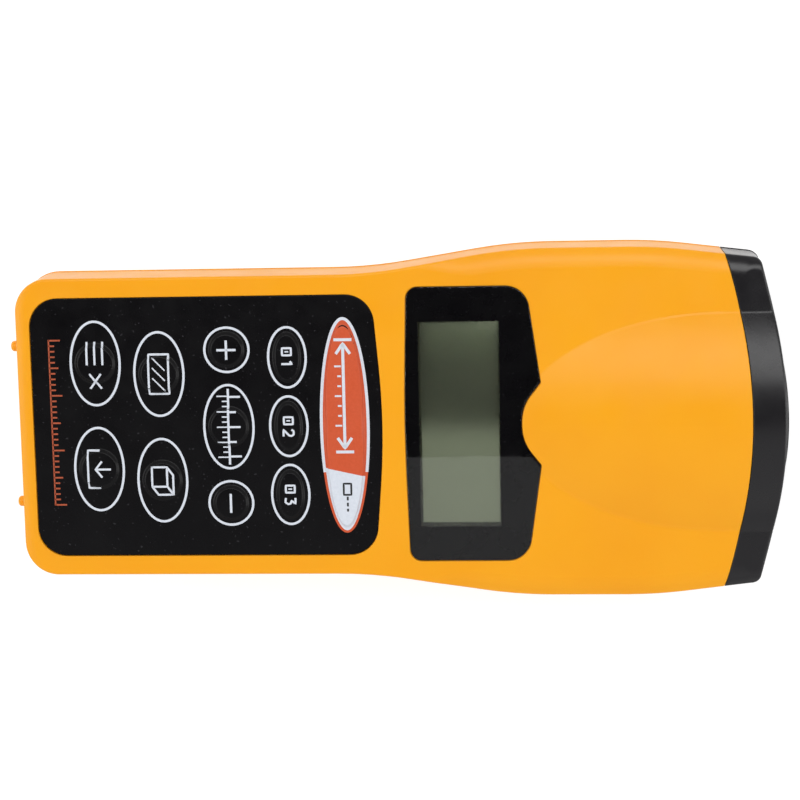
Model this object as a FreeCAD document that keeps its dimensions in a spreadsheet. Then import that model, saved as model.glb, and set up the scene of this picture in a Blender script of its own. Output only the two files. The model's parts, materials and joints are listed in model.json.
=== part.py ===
"""Handheld ultrasonic distance meter with a laser pointer, as an assembly of separate pieces.

Frame: X runs along the meter from the base (-X) to the sensor nose (+X), Y runs across it and +Z is
the outward normal of the keypad face. The meter lies on its back on the plane Z = 0, and the origin
is the centre of its footprint. Lengths are in millimetres and angles in degrees.
"""
import FreeCAD
import Part

import math
import os

import Sketcher

Vector = FreeCAD.Vector
Placement = FreeCAD.Placement
Rotation = FreeCAD.Rotation
TURN_TO_X = Rotation(Vector(0, 1, 0), 90)
CLOSE = 0.01
# A face is a wall when its normal's rise is below UPRIGHT and a top when it is above LEVEL.
UPRIGHT = 0.35
LEVEL = 0.7
CREASE_ANGLE = 4.0

# Driving dimensions, one spreadsheet row each.
DIMENSIONS = {
    # housing seen from above
    "base_x": 80.4,
    "base_corner_r": 8.0,
    "handle_half": 32.7,
    "head_half": 37.5,
    "bend_r": 100.0,
    "neck_x": -4.5,
    "shoulder_x": 25.8,
    "cheek_x": 55.4,
    "nose_x": 82.5,
    "nose_r": 108.0,
    "nose_slope": 14.0,
    "nose_corner_y": 34.8,
    "nose_corner_r": 2.8,
    "belly_corner_r": 9.6,
    "bezel_seam_x": 74.9,
    "bezel_seam_r": 117.0,
    # housing seen from the side
    "face_z": 38.5,
    "part_z": 26.5,
    "wall": 2.0,
    "top_z": 50.0,
    "seam_step": 0.15,
    "face_inset": 0.82,
    "nose_face_inset": 0.45,
    "belly_inset": 3.0,
    "nose_belly_inset": 0.9,
    "belly_r": 6.0,
    "room_edge_r": 3.0,
    # soft shoulder between the face and the walls, wide round the head and slight round the handle
    "crown_reach": 4.0,
    "crown_corner_r": 5.2,
    "handle_crown_r": 4.4,
    "base_crown_r": 6.2,
    "head_crown_r": 8.0,
    "nose_crown_r": 5.0,
    "crown_nose_x": 79.0,
    # hump over the horn: an arched ridge that breaks out of the face
    "hump_x": 26.5,
    "hump_axis_depth": 54.0,
    "hump_rise_angle": 12.4,
    "hump_arch_r": 200.0,
    "hump_foot_r": 1.2,
    "rim_r": 0.5,
    # keypad film and its recess
    "film_back_x": -76.6,
    "film_front_x": -1.3,
    "film_side_x": -3.6,
    "film_half": 27.8,
    "film_corner_r": 6.2,
    "film_bow_r": 150.0,
    "film_recess": 0.8,
    "film_thick": 0.5,
    "edge_gap": 0.12,
    # display window and its recess
    "window_back_x": 2.65,
    "window_back_side_x": 3.5,
    "window_half": 29.2,
    "window_back_r": 2.6,
    "window_front_r": 5.2,
    "window_side_x": 28.7,
    "window_horn_x": 31.6,
    "window_horn_y": 8.7,
    "window_horn_r": 0.8,
    "notch_x": 27.6,
    "notch_y": 3.6,
    "notch_r": 9.0,
    "window_bow_r": 400.0,
    "window_recess": 1.15,
    "window_thick": 0.9,
    "window_sink": 0.1,
    "mask_thick": 0.12,
    # display
    "glass_x": 3.9,
    "glass_end_x": 25.9,
    "glass_half": 24.6,
    "glass_low_z": 33.6,
    "glass_thick": 2.5,
    "view_x": 5.9,
    "view_end_x": 22.9,
    "view_half": 21.8,
    "view_margin": 1.0,
    "tray_wall": 1.3,
    "tray_top_z": 36.3,
    "zebra_width": 1.8,
    "zebra_half": 21.0,
    "fit_gap": 0.1,
    # keys
    "key_gap": 0.3,
    "key_fillet": 0.4,
    "key_proud": 0.55,
    "key_travel": 0.5,
    "key_flange": 0.9,
    "key_flange_thick": 1.1,
    "key_stem_r": 1.8,
    "round_key_r": 4.0,
    "memory_key_r": 3.0,
    "memory_key_span": 4.6,
    "measure_key_r": 3.2,
    "measure_key_span": 33.0,
    "memory_row_x": -21.7,
    "unit_row_x": -34.5,
    "shape_row_x": -49.1,
    "store_row_x": -62.7,
    "measure_row_x": -9.8,
    "memory_pitch": 14.65,
    "sign_pitch": 16.4,
    "shape_pitch": 11.4,
    "clear_y": 13.8,
    "store_y": -8.9,
    # circuit board and what it carries
    "board_z": 30.0,
    "board_thick": 1.6,
    "board_back_x": -69.0,
    "board_notch_x": -64.5,
    "board_notch_half": 16.8,
    "board_step_x": -0.5,
    "board_front_x": 32.5,
    "board_half": 22.4,
    "board_head_half": 28.0,
    "board_corner_r": 1.0,
    "dome_r": 2.6,
    "dome_height": 0.6,
    "measure_dome_y": 9.0,
    "post_r": 2.3,
    "post_back_x": -56.5,
    "post_mid_x": -3.4,
    "post_front_x": 30.0,
    "post_y": 20.2,
    "post_front_y": 25.0,
    "board_screw_r": 0.9,
    "board_screw_depth": 3.0,
    "board_screw_head_r": 1.8,
    "board_screw_head": 1.2,
    "chip_x": -44.0,
    "chip_side": 12.0,
    "chip_height": 1.7,
    "capacitor_x": -5.0,
    "capacitor_y": 12.0,
    "capacitor_r": 2.5,
    "capacitor_height": 5.0,
    "crystal_x": -30.0,
    "crystal_y": -9.0,
    "crystal_length": 8.0,
    "crystal_width": 3.4,
    "crystal_height": 2.6,
    "transformer_x": 13.0,
    "transformer_y": -14.0,
    "transformer_side": 10.0,
    "transformer_height": 9.0,
    "sounder_x": 14.0,
    "sounder_y": 12.0,
    "sounder_r": 6.0,
    "sounder_height": 6.5,
    # screws that close the housing, put in from the back
    "boss_r": 3.1,
    "boss_back_x": -69.2,
    "boss_back_y": 20.8,
    "boss_front_x": 38.5,
    "boss_front_y": 25.5,
    "screw_r": 1.3,
    "screw_head_r": 2.4,
    "screw_head": 1.8,
    "screw_sink_r": 2.7,
    "screw_sink": 4.0,
    "screw_length": 26.0,
    "screw_slot_width": 0.7,
    "screw_slot_depth": 0.9,
    # battery bay
    "bay_back_x": -75.2,
    "bay_front_x": -20.2,
    "bay_half": 14.0,
    "bay_top_z": 22.0,
    "bay_wall": 1.4,
    "door_front_x": -16.8,
    "door_half": 16.0,
    "door_gap": 0.25,
    "door_thick": 2.0,
    "rail_width": 1.4,
    "rail_root": 1.2,
    "rail_back_x": -70.0,
    "rail_top_z": 3.3,
    "rail_floor_z": 1.85,
    "rail_roof_z": 3.7,
    "catch_half": 5.0,
    "catch_reach": 2.4,
    "rib_x": -30.0,
    "rib_pitch": 2.4,
    "rib_count": 6.0,
    "rib_half": 9.0,
    "rib_width": 1.1,
    "rib_depth": 0.6,
    "pad_back_x": -66.0,
    "pad_front_x": -34.0,
    "pad_half": 9.0,
    "pad_top_z": 3.6,
    "cell_back_x": -75.0,
    "cell_length": 46.4,
    "cell_half": 13.2,
    "cell_low_z": 4.1,
    "cell_high_z": 21.5,
    "cell_edge_r": 1.6,
    "stud_y": 6.35,
    "stud_r": 2.9,
    "socket_r": 3.9,
    "stud_height": 2.1,
    "snap_front_x": -22.6,
    "snap_half": 12.4,
    "snap_margin": 1.2,
    # leads
    "lead_r": 0.7,
    "lead_y": 3.0,
    "lead_z": 12.8,
    "lead_rise_x": -12.0,
    "lead_hole": 1.6,
    "laser_lead_run": 6.0,
    "laser_lead_y": 19.0,
    "laser_lead_x": 25.0,
    # sensor
    "horn_z": 22.5,
    "mouth_r": 16.4,
    "mouth_x": 77.4,
    "throat_r": 7.4,
    "throat_x": 52.0,
    "horn_wall": 1.5,
    "horn_flare_r": 60.0,
    "socket_back_x": 42.0,
    "collar_wall": 1.6,
    "can_r": 8.1,
    "can_back_x": 40.5,
    "can_front_x": 51.0,
    "grommet_r": 10.0,
    "mesh_thick": 0.5,
    "mesh_pitch": 2.1,
    "mesh_hole_r": 0.75,
    "mesh_rings": 3.0,
    "sensor_board_x": 37.4,
    "sensor_board_thick": 1.6,
    "sensor_board_half": 11.0,
    "pin_y": 5.0,
    "pin_r": 0.5,
    # laser pointer
    "laser_y": 27.2,
    "laser_z": 20.0,
    "laser_r": 3.6,
    "laser_back_x": 55.0,
    "laser_front_x": 73.6,
    "laser_bore_r": 2.2,
    "lens_thick": 1.2,
    "lens_x": 72.0,
    "laser_port_r": 2.6,
    "cradle_back_x": 59.0,
    "cradle_front_x": 68.0,
    "cradle_wall": 1.3,
    # lugs on the base
    "lug_x": 82.5,
    "lug_y": 17.0,
    "lug_z": 31.2,
    "lug_r": 1.15,
    "lug_length": 3.5,
    "lug_tip_r": 0.7,
    # tongues that hold the bezel on the housing
    "seam_gap": 0.15,
    "tongue_back_x": 67.5,
    "tongue_half": 3.0,
    "tongue_thick": 1.2,
    "tongue_top_y": 28.0,
    "tongue_floor_y": 14.0,
}

# Share of the shorter leg that each bend of a lead takes up.
LEAD_BEND = 0.45


class Dim:
    """A length with its value and the spreadsheet expression that gives it."""

    def __init__(self, value, text):
        self.value = float(value)
        self.text = text

    def join(self, sign, other, value):
        return Dim(value, f"({self.text} {sign} {as_text(other)})")

    def __add__(self, other):
        return self.join("+", other, self.value + number(other))

    def __sub__(self, other):
        return self.join("-", other, self.value - number(other))

    def __mul__(self, other):
        return self.join("*", other, self.value * number(other))

    def __truediv__(self, other):
        return self.join("/", other, self.value / number(other))

    def __neg__(self):
        return Dim(-self.value, f"(0 - {self.text})")


def number(value):
    """The number in a Dim, or the plain number itself."""
    return value.value if isinstance(value, Dim) else float(value)


def as_text(value):
    """A Dim's expression, or a plain number written out."""
    return value.text if isinstance(value, Dim) else f"({float(value)})"


def difference(high, low):
    """high - low as a Dim, whichever of the two is one."""
    return Dim(number(high) - number(low), f"({as_text(high)} - {as_text(low)})")


class Dims:
    """Every driving dimension as a Dim attribute, from its spreadsheet cell."""

    def __init__(self, sheet):
        for row, (alias, value) in enumerate(DIMENSIONS.items(), start=1):
            sheet.set(f"A{row}", alias)
            sheet.set(f"B{row}", str(value))
            sheet.setAlias(f"B{row}", alias)
            setattr(self, alias, Dim(value, f"{sheet.Name}.{alias}"))


doc = FreeCAD.newDocument("distance_meter")
d = Dims(doc.addObject("Spreadsheet::Sheet", "dims"))
doc.recompute()
NODES = []


# ---------------------------------------------------------------- outlines

def point_on(centre, radius, degrees):
    angle = math.radians(degrees)
    return (centre[0] + radius * math.cos(angle), centre[1] + radius * math.sin(angle))


def unit(start, end):
    length = math.dist(start, end)
    return ((end[0] - start[0]) / length, (end[1] - start[1]) / length)


def rounded(corners):
    """Lines and arcs round a counter-clockwise polygon whose corners are (x, y, radius)."""
    chain = []
    for before, corner, after in zip(corners[-1:] + corners[:-1], corners, corners[1:] + corners[:1]):
        into = unit(before[:2], corner[:2])
        out = unit(corner[:2], after[:2])
        cross = into[0] * out[1] - into[1] * out[0]
        turn = math.atan2(cross, into[0] * out[0] + into[1] * out[1])
        reach = corner[2] * math.tan(abs(turn) / 2)
        start = (corner[0] - into[0] * reach, corner[1] - into[1] * reach)
        side = 1 if turn > 0 else -1
        centre = (start[0] - side * into[1] * corner[2], start[1] + side * into[0] * corner[2])
        first = math.degrees(math.atan2(start[1] - centre[1], start[0] - centre[0]))
        chain.append(("arc", centre, corner[2], first, first + math.degrees(turn)))
    closed = []
    for arc, following in zip(chain, chain[1:] + chain[:1]):
        end = point_on(arc[1], arc[2], arc[4])
        closed.append(arc)
        closed.append(("line", end, point_on(following[1], following[2], following[3])))
    return closed


def inset(corners, gap):
    """The same polygon with every edge moved inward by gap, and its radii changed to match."""
    gap = number(gap)
    moved = []
    for before, corner, after in zip(corners[-1:] + corners[:-1], corners, corners[1:] + corners[:1]):
        into = unit(before[:2], corner[:2])
        out = unit(corner[:2], after[:2])
        cross = into[0] * out[1] - into[1] * out[0]
        share = gap / (1 + into[0] * out[0] + into[1] * out[1])
        radius = corner[2] - gap if cross > 0 else corner[2] + gap
        x = corner[0] - (into[1] + out[1]) * share
        y = corner[1] + (into[0] + out[0]) * share
        moved.append((x, y, max(radius, CLOSE)))
    return moved


def symmetric(half):
    """A counter-clockwise polygon from its corners with y >= 0, listed from +X round to -X."""
    half = [(number(x), number(y), number(radius)) for x, y, radius in half]
    below = [(x, -y, radius) for x, y, radius in reversed(half) if y > 0]
    return half + below


def rectangle(half_x, half_y, radius, centre=(0, 0)):
    x, y = number(centre[0]), number(centre[1])
    across, along = number(half_x), number(half_y)
    signs = [(1, 1), (-1, 1), (-1, -1), (1, -1)]
    return [(x + sx * across, y + sy * along, number(radius)) for sx, sy in signs]


def housing_outline(side_inset, nose_inset, corner_radii=None):
    """Plan of the housing, moved in from its widest by one amount at the nose and another elsewhere."""
    side_inset = number(side_inset)
    nose_corner_r, base_corner_r = corner_radii or (d.nose_corner_r, d.base_corner_r)
    slope = math.radians(d.nose_slope.value)
    nose_x = d.nose_x.value + side_inset - number(nose_inset)
    nose_tip = nose_x - d.nose_r.value + d.nose_r.value / math.cos(slope)
    corner_x = nose_tip - d.nose_corner_y.value * math.tan(slope)
    widest = symmetric([
        (nose_tip, 0, d.nose_r),
        (corner_x, d.nose_corner_y, nose_corner_r),
        (d.cheek_x, d.head_half, d.bend_r),
        (d.shoulder_x, d.head_half, d.bend_r),
        (d.neck_x, d.handle_half, d.bend_r),
        (-d.base_x, d.handle_half, base_corner_r),
    ])
    return inset(widest, side_inset)


def film_outline():
    return symmetric([
        (d.film_front_x, 0, d.film_bow_r),
        (d.film_side_x, d.film_half, d.film_corner_r),
        (d.film_back_x, d.film_half, d.film_corner_r),
    ])


def window_outline():
    """Display window: bowed at the back, with a round notch for the hump at the front."""
    return symmetric([
        (d.notch_x, d.notch_y, d.notch_r),
        (d.window_horn_x, d.window_horn_y, d.window_horn_r),
        (d.window_side_x, d.window_half, d.window_front_r),
        (d.window_back_side_x, d.window_half, d.window_back_r),
        (d.window_back_x, 0, d.window_bow_r),
    ])


# ---------------------------------------------------------------- document objects

def bind(item, path, value):
    """Ties one property of an object to the spreadsheet, or sets a plain number."""
    if isinstance(value, Dim):
        item.setExpression(path, value.text)
    else:
        setattr(item, path, float(value))


def place(item, x, y, z, rotation=Rotation()):
    item.Placement = Placement(Vector(number(x), number(y), number(z)), rotation)
    for axis, value in zip("xyz", (x, y, z)):
        if isinstance(value, Dim):
            bind(item, f"Placement.Base.{axis}", value)
    return item


def draw(sketch, chain):
    """Draws a closed chain of ("line", start, end) and ("arc", centre, radius, from, to) in a sketch."""
    ends = []
    for segment in chain:
        if segment[0] == "line":
            shape = Part.LineSegment(Vector(*segment[1], 0), Vector(*segment[2], 0))
            order = (1, 2)
        else:
            _, centre, radius, first, last = segment
            circle = Part.Circle(Vector(*centre, 0), Vector(0, 0, 1), radius)
            low, high = sorted((math.radians(first), math.radians(last)))
            shape = Part.ArcOfCircle(circle, low, high)
            order = (1, 2) if first < last else (2, 1)
        ends.append((sketch.addGeometry(shape, False), order))
    for (one, order_one), (two, order_two) in zip(ends, ends[1:] + ends[:1]):
        sketch.addConstraint(Sketcher.Constraint("Coincident", one, order_one[1], two, order_two[0]))


def origin_plane(body, role):
    return next(item for item in body.Origin.OriginFeatures if item.Role == role)


def prism(name, corners, low, high):
    """A rounded polygon padded from one height to another."""
    body = doc.addObject("PartDesign::Body", name)
    sketch = body.newObject("Sketcher::SketchObject", f"{name}_sketch")
    sketch.AttachmentSupport = [(origin_plane(body, "XY_Plane"), "")]
    sketch.MapMode = "FlatFace"
    draw(sketch, rounded(corners))
    sketch.AttachmentOffset = Placement(Vector(0, 0, number(low)), Rotation())
    sketch.setExpression("AttachmentOffset.Base.z", as_text(low))
    pad = body.newObject("PartDesign::Pad", f"{name}_pad")
    pad.Profile = sketch
    bind(pad, "Length", difference(high, low))
    return body


def box(name, x_range, y_range, z_range):
    item = doc.addObject("Part::Box", name)
    for side, (low, high) in zip(("Length", "Width", "Height"), (x_range, y_range, z_range)):
        bind(item, side, difference(high, low))
    return place(item, x_range[0], y_range[0], z_range[0])


def cylinder(name, at, radius, length, along_x=False):
    """A cylinder from the point at, along +Z or +X."""
    item = doc.addObject("Part::Cylinder", name)
    bind(item, "Radius", radius)
    bind(item, "Height", length)
    return place(item, *at, TURN_TO_X if along_x else Rotation())


def fuse(name, *pieces):
    item = doc.addObject("Part::MultiFuse", name)
    item.Shapes = list(pieces)
    item.Refine = True
    return item


def cut(name, base, *tools):
    item = doc.addObject("Part::Cut", name)
    item.Base = base
    item.Tool = tools[0] if len(tools) == 1 else fuse(f"{name}_tools", *tools)
    return item


def common(name, one, two):
    item = doc.addObject("Part::Common", name)
    item.Base = one
    item.Tool = two
    return item


def group(name, *pieces):
    """Separate solids kept together as one object."""
    item = doc.addObject("Part::Compound", name)
    item.Links = list(pieces)
    return item


def fillet(name, base, radius_of):
    """Rounds the edges for which radius_of(edge) gives a radius, or a pair for a changing one."""
    doc.recompute()
    edges = []
    for index, edge in enumerate(base.Shape.Edges, start=1):
        radii = radius_of(edge)
        if radii is not None:
            edges.append((index, *radii))
    item = doc.addObject("Part::Fillet", name)
    item.Base = base
    item.Edges = edges
    return item


def existing(name):
    """An object made before, such as an outer form that several pieces are cut from."""
    return doc.getObject(name)


def node(label, item):
    """Makes an object one sub-part of the assembly."""
    item.Label = label
    NODES.append(item)
    return item


def section(name, corners, height):
    """A rounded polygon as a flat sketch at a height, for a loft."""
    sketch = doc.addObject("Sketcher::SketchObject", name)
    draw(sketch, rounded(corners))
    return place(sketch, 0, 0, height)


def loft(name, low, high):
    item = doc.addObject("Part::Loft", name)
    item.Sections = [low, high]
    item.Solid = True
    item.Ruled = True
    return item


def turned(name, chain, axis_z):
    """A solid turned about an axis along X at a height, from a closed profile in (x, radius)."""
    profile = doc.addObject("Sketcher::SketchObject", f"{name}_profile")
    draw(profile, chain)
    place(profile, 0, 0, axis_z, Rotation(Vector(1, 0, 0), 90))
    item = doc.addObject("Part::Revolution", name)
    item.Source = profile
    item.Axis = Vector(1, 0, 0)
    item.Base = Vector(0, 0, number(axis_z))
    item.Solid = True
    return item


def both_sides(y):
    return (y, -y)


# ---------------------------------------------------------------- housing form

def crown_radius(vertex):
    """How softly the face turns down at one point of its outline."""
    if vertex.X < -d.base_x.value:
        return d.base_crown_r.value
    if vertex.X < (d.neck_x.value + d.shoulder_x.value) / 2:
        return d.handle_crown_r.value
    return d.head_crown_r.value if vertex.X < d.crown_nose_x.value else d.nose_crown_r.value


def at_height(edge, height):
    return all(abs(vertex.Z - height) < CLOSE for vertex in edge.Vertexes)


def crown():
    """A block wider than the housing whose rounded top leaves a soft shoulder inside the walls."""
    outline = housing_outline(
        d.face_inset - d.crown_reach,
        d.nose_face_inset - d.crown_reach,
        (d.crown_corner_r, d.base_corner_r),
    )
    block = prism("crown_block", outline, d.part_z, d.face_z)

    def face_edge(edge):
        on_face = at_height(edge, d.face_z.value)
        return tuple(crown_radius(vertex) for vertex in edge.Vertexes) if on_face else None

    return fillet("crown", block, face_edge)


def inset_at(height, at_seam, at_face):
    """How far a leaning upper wall has moved in at a height."""
    share = (number(height) - d.part_z.value) / (d.face_z.value - d.part_z.value)
    return number(at_seam) + (number(at_face) - number(at_seam)) * share


def upper_section(name, height, wall):
    """The outline of the upper walls at a height, or of the room inside them."""
    side = inset_at(height, d.seam_step, d.face_inset) + number(wall)
    nose = inset_at(height, d.seam_step, d.nose_face_inset) + number(wall)
    return section(name, housing_outline(side, nose), height)


def lower_section(name, height, wall):
    """The outline of the lower walls at a height, or of the room inside them."""
    share = 1 - number(height) / d.part_z.value
    side = d.belly_inset.value * share + number(wall)
    nose = d.nose_belly_inset.value * share + number(wall)
    corner_radii = (
        d.nose_corner_r.value * (1 - share) + d.belly_corner_r.value * share,
        d.base_corner_r.value * (1 - share) + d.belly_corner_r.value * share,
    )
    return section(name, housing_outline(side, nose, corner_radii), height)


def arched_ridge(name, sink):
    """A barrel about an axis far below the face: its top breaks out of the face as the hump."""
    start = (d.hump_x.value, d.hump_axis_depth.value - sink)
    rise = d.hump_rise_angle.value
    radius = d.hump_arch_r.value
    centre = point_on(start, radius, rise - 90)
    crest = point_on(centre, radius, 90)
    end = (d.nose_x.value + d.wall.value, crest[1])
    chain = [
        ("arc", centre, radius, rise + 90, 90),
        ("line", crest, end),
        ("line", end, (end[0], 0)),
        ("line", (end[0], 0), (start[0], 0)),
        ("line", (start[0], 0), start),
    ]
    return turned(name, chain, d.face_z - d.hump_axis_depth)


def fold(shape, edge):
    """How level the steeper and the flatter face beside an edge are, from 0 to 1, and their angle."""
    first, last = edge.ParameterRange
    middle = edge.valueAt((first + last) / 2)
    normals = [
        face.normalAt(*face.Surface.parameter(middle)) for face in shape.ancestorsOfType(edge, Part.Face)
    ]
    rises = [abs(normal.z) for normal in normals]
    return min(rises), max(rises), math.degrees(normals[0].getAngle(normals[-1]))


def upper_form():
    """Outer form above the seam: leaning walls, a face with a soft shoulder, and the hump."""
    block = fuse("face_block", crown(), arched_ridge("hump", 0))

    def crease(edge):
        steep, _, angle = fold(block.Shape, edge)
        is_crease = steep > LEVEL and angle > CREASE_ANGLE and edge.CenterOfMass.z > d.board_z.value
        return (d.hump_foot_r.value, d.hump_foot_r.value) if is_crease else None

    face = fillet("face_form", block, crease)
    walls = loft("upper_walls", upper_section("upper_low", d.part_z, 0), upper_section("upper_high", d.top_z, 0))
    form = common("upper_sharp", walls, face)

    def rim(edge):
        steep, flat, _ = fold(form.Shape, edge)
        is_rim = steep < UPRIGHT < LEVEL < flat and not at_height(edge, d.part_z.value)
        return (d.rim_r.value, d.rim_r.value) if is_rim else None

    return fillet("upper_form", form, rim)


def lower_form():
    """Outer form below the seam, drawn in towards a flat back with a well rounded edge."""
    belly = (d.belly_r.value, d.belly_r.value)
    walls = loft("lower_walls", lower_section("lower_low", 0, 0), lower_section("lower_high", d.part_z, 0))
    return fillet("lower_form", walls, lambda edge: belly if at_height(edge, 0) else None)


def upper_space():
    """The room inside the upper walls, hump included."""
    walls = loft(
        "upper_room_walls",
        upper_section("upper_room_low", d.part_z, d.wall),
        upper_section("upper_room_high", d.top_z, d.wall),
    )
    below_face = prism("below_face", rectangle(d.nose_x, d.nose_x, CLOSE), 0.0, roof_low())
    top = fuse("room_top", below_face, arched_ridge("hump_room", d.wall.value))
    return common("upper_space", walls, top)


def lower_space():
    """The room inside the lower walls, with a rounded floor edge."""
    radius = d.room_edge_r.value
    walls = loft(
        "lower_room_walls",
        lower_section("lower_room_low", d.wall, d.wall),
        lower_section("lower_room_high", d.part_z, d.wall),
    )
    on_floor = d.wall.value
    return fillet("lower_space", walls, lambda edge: (radius, radius) if at_height(edge, on_floor) else None)


def seam_cylinder(name, gap=0.0):
    """An upright cylinder whose front is the bowed seam between the housing and the bezel."""
    at = (d.bezel_seam_x - d.bezel_seam_r, 0, -d.wall)
    return cylinder(name, at, d.bezel_seam_r + gap, d.top_z + d.wall)


# ---------------------------------------------------------------- keys

def key_plan():
    """Every key as name, centre x, centre y, radius and span across the meter."""
    long_key = (d.measure_key_r, d.measure_key_span)
    oval_key = (d.memory_key_r, d.memory_key_span)
    round_key = (d.round_key_r, 0.0)
    return [
        ("key_measure", d.measure_row_x, 0.0, *long_key),
        ("key_memory_1", d.memory_row_x, d.memory_pitch, *oval_key),
        ("key_memory_2", d.memory_row_x, 0.0, *oval_key),
        ("key_memory_3", d.memory_row_x, -d.memory_pitch, *oval_key),
        ("key_plus", d.unit_row_x, d.sign_pitch, *round_key),
        ("key_units", d.unit_row_x, 0.0, *round_key),
        ("key_minus", d.unit_row_x, -d.sign_pitch, *round_key),
        ("key_area", d.shape_row_x, d.shape_pitch, *round_key),
        ("key_volume", d.shape_row_x, -d.shape_pitch, *round_key),
        ("key_clear", d.store_row_x, d.clear_y, *round_key),
        ("key_store", d.store_row_x, d.store_y, *round_key),
    ]


def is_long(span):
    """The long key rests on two domes, every other key on one."""
    return number(span) == d.measure_key_span.value


def slot(name, x, y, radius, span, low, high):
    """An upright round piece, or one drawn out along Y when it has a span."""
    if not number(span):
        return cylinder(name, (x, y, low), radius, difference(high, low))
    half_y = number(span) / 2 + number(radius)
    corners = rectangle(radius, half_y, number(radius) - CLOSE, (x, y))
    return prism(name, corners, low, high)


def film_top():
    return d.face_z - d.film_recess + d.film_thick


def roof_low():
    return d.face_z - d.wall


def key_low():
    return d.board_z + d.board_thick + d.dome_height + d.key_travel + d.edge_gap / 2


def key(name, x, y, radius, span):
    """A key: a cap through the face, a flange under the face that holds it in, and a stem."""
    flange_top = roof_low() - d.fit_gap
    flange_low = flange_top - d.key_flange_thick
    top = film_top() + d.key_proud
    cap = slot(f"{name}_cap", x, y, radius, span, flange_low, top)
    flange = slot(f"{name}_flange", x, y, radius + d.key_flange, span, flange_low, flange_top)
    stem_span = d.measure_dome_y * 2 if is_long(span) else 0.0
    stem = slot(f"{name}_stem", x, y, d.key_stem_r, stem_span, key_low(), flange_low)
    body = fuse(f"{name}_body", cap, flange, stem)
    rounding = (d.key_fillet.value, d.key_fillet.value)
    return node(name, fillet(name, body, lambda edge: rounding if at_height(edge, number(top)) else None))


def key_holes(prefix, low, high):
    return [
        slot(f"{prefix}_{name}", x, y, radius + d.key_gap, span, low, high)
        for name, x, y, radius, span in key_plan()
    ]


def keys():
    for name, x, y, radius, span in key_plan():
        key(name, x, y, radius, span)


def keypad_film():
    film = prism("film_sheet", inset(film_outline(), d.edge_gap), d.face_z - d.film_recess, film_top())
    holes = key_holes("film_hole", d.face_z - d.wall, d.face_z + d.wall)
    node("keypad_overlay", cut("keypad_overlay", film, *holes))


def dome_switches():
    domes = []
    for name, x, y, _, span in key_plan():
        places = both_sides(d.measure_dome_y) if is_long(span) else (y,)
        for index, place_y in enumerate(places):
            at = (x, place_y, d.board_z + d.board_thick)
            domes.append(cylinder(f"dome_{name}_{index}", at, d.dome_r, d.dome_height))
    node("dome_switches", group("dome_switches", *domes))


# ---------------------------------------------------------------- housing halves

def boss_places():
    back = [(d.boss_back_x, y) for y in both_sides(d.boss_back_y)]
    front = [(d.boss_front_x, y) for y in both_sides(d.boss_front_y)]
    return back + front


def post_places():
    return (
        [(d.post_back_x, y) for y in both_sides(d.post_y)]
        + [(d.post_mid_x, y) for y in both_sides(d.post_y)]
        + [(d.post_front_x, y) for y in both_sides(d.post_front_y)]
    )


def screw_top():
    return d.screw_sink + d.screw_length


def front_housing():
    """Upper shell with recesses for the film and window, key holes, bosses and board posts."""
    outer = common("front_outer", existing("upper_form"), seam_cylinder("front_seam"))
    shell = cut("front_shell", outer, existing("upper_space"))
    film_space = prism("film_space", film_outline(), d.face_z - d.film_recess, d.top_z)
    window_space = prism("window_space", window_outline(), d.face_z - d.window_recess, d.top_z)
    view = box(
        "view_hole",
        (d.view_x - d.view_margin, d.view_end_x + d.view_margin),
        (-d.view_half - d.view_margin, d.view_half + d.view_margin),
        (d.board_z, d.top_z),
    )
    holes = key_holes("face_hole", d.board_z, d.top_z)
    bosses = [
        cylinder(f"front_boss_{index}", (x, y, d.part_z), d.boss_r, difference(roof_low(), d.part_z))
        for index, (x, y) in enumerate(boss_places())
    ]
    posts = [
        cylinder(f"post_{index}", (x, y, d.board_z + d.board_thick), d.post_r,
                 difference(roof_low(), d.board_z + d.board_thick))
        for index, (x, y) in enumerate(post_places())
    ]
    pilots = [
        cylinder(f"front_pilot_{index}", (x, y, d.part_z - d.wall), d.screw_r, difference(screw_top(), d.part_z - d.wall))
        for index, (x, y) in enumerate(boss_places())
    ]
    post_pilots = [
        cylinder(f"post_pilot_{index}", (x, y, d.board_z), d.board_screw_r, d.board_thick + d.board_screw_depth)
        for index, (x, y) in enumerate(post_places())
    ]
    opened = cut("front_opened", shell, film_space, window_space, view, *holes)
    solid = fuse("front_with_bosses", opened, *bosses, *posts, *lugs())
    node("front_housing", cut("front_housing", solid, *pilots, *post_pilots))


def lugs():
    """Two small round-ended lugs on the base."""
    lug_x = d.lug_x.value
    rounding = (d.lug_tip_r.value, d.lug_tip_r.value)

    def tip(edge):
        return rounding if all(abs(vertex.X + lug_x) < CLOSE for vertex in edge.Vertexes) else None

    return [
        fillet(f"lug_{index}", cylinder(f"lug_pin_{index}", (-d.lug_x, y, d.lug_z), d.lug_r, d.lug_length, True), tip)
        for index, y in enumerate(both_sides(d.lug_y))
    ]


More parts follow.
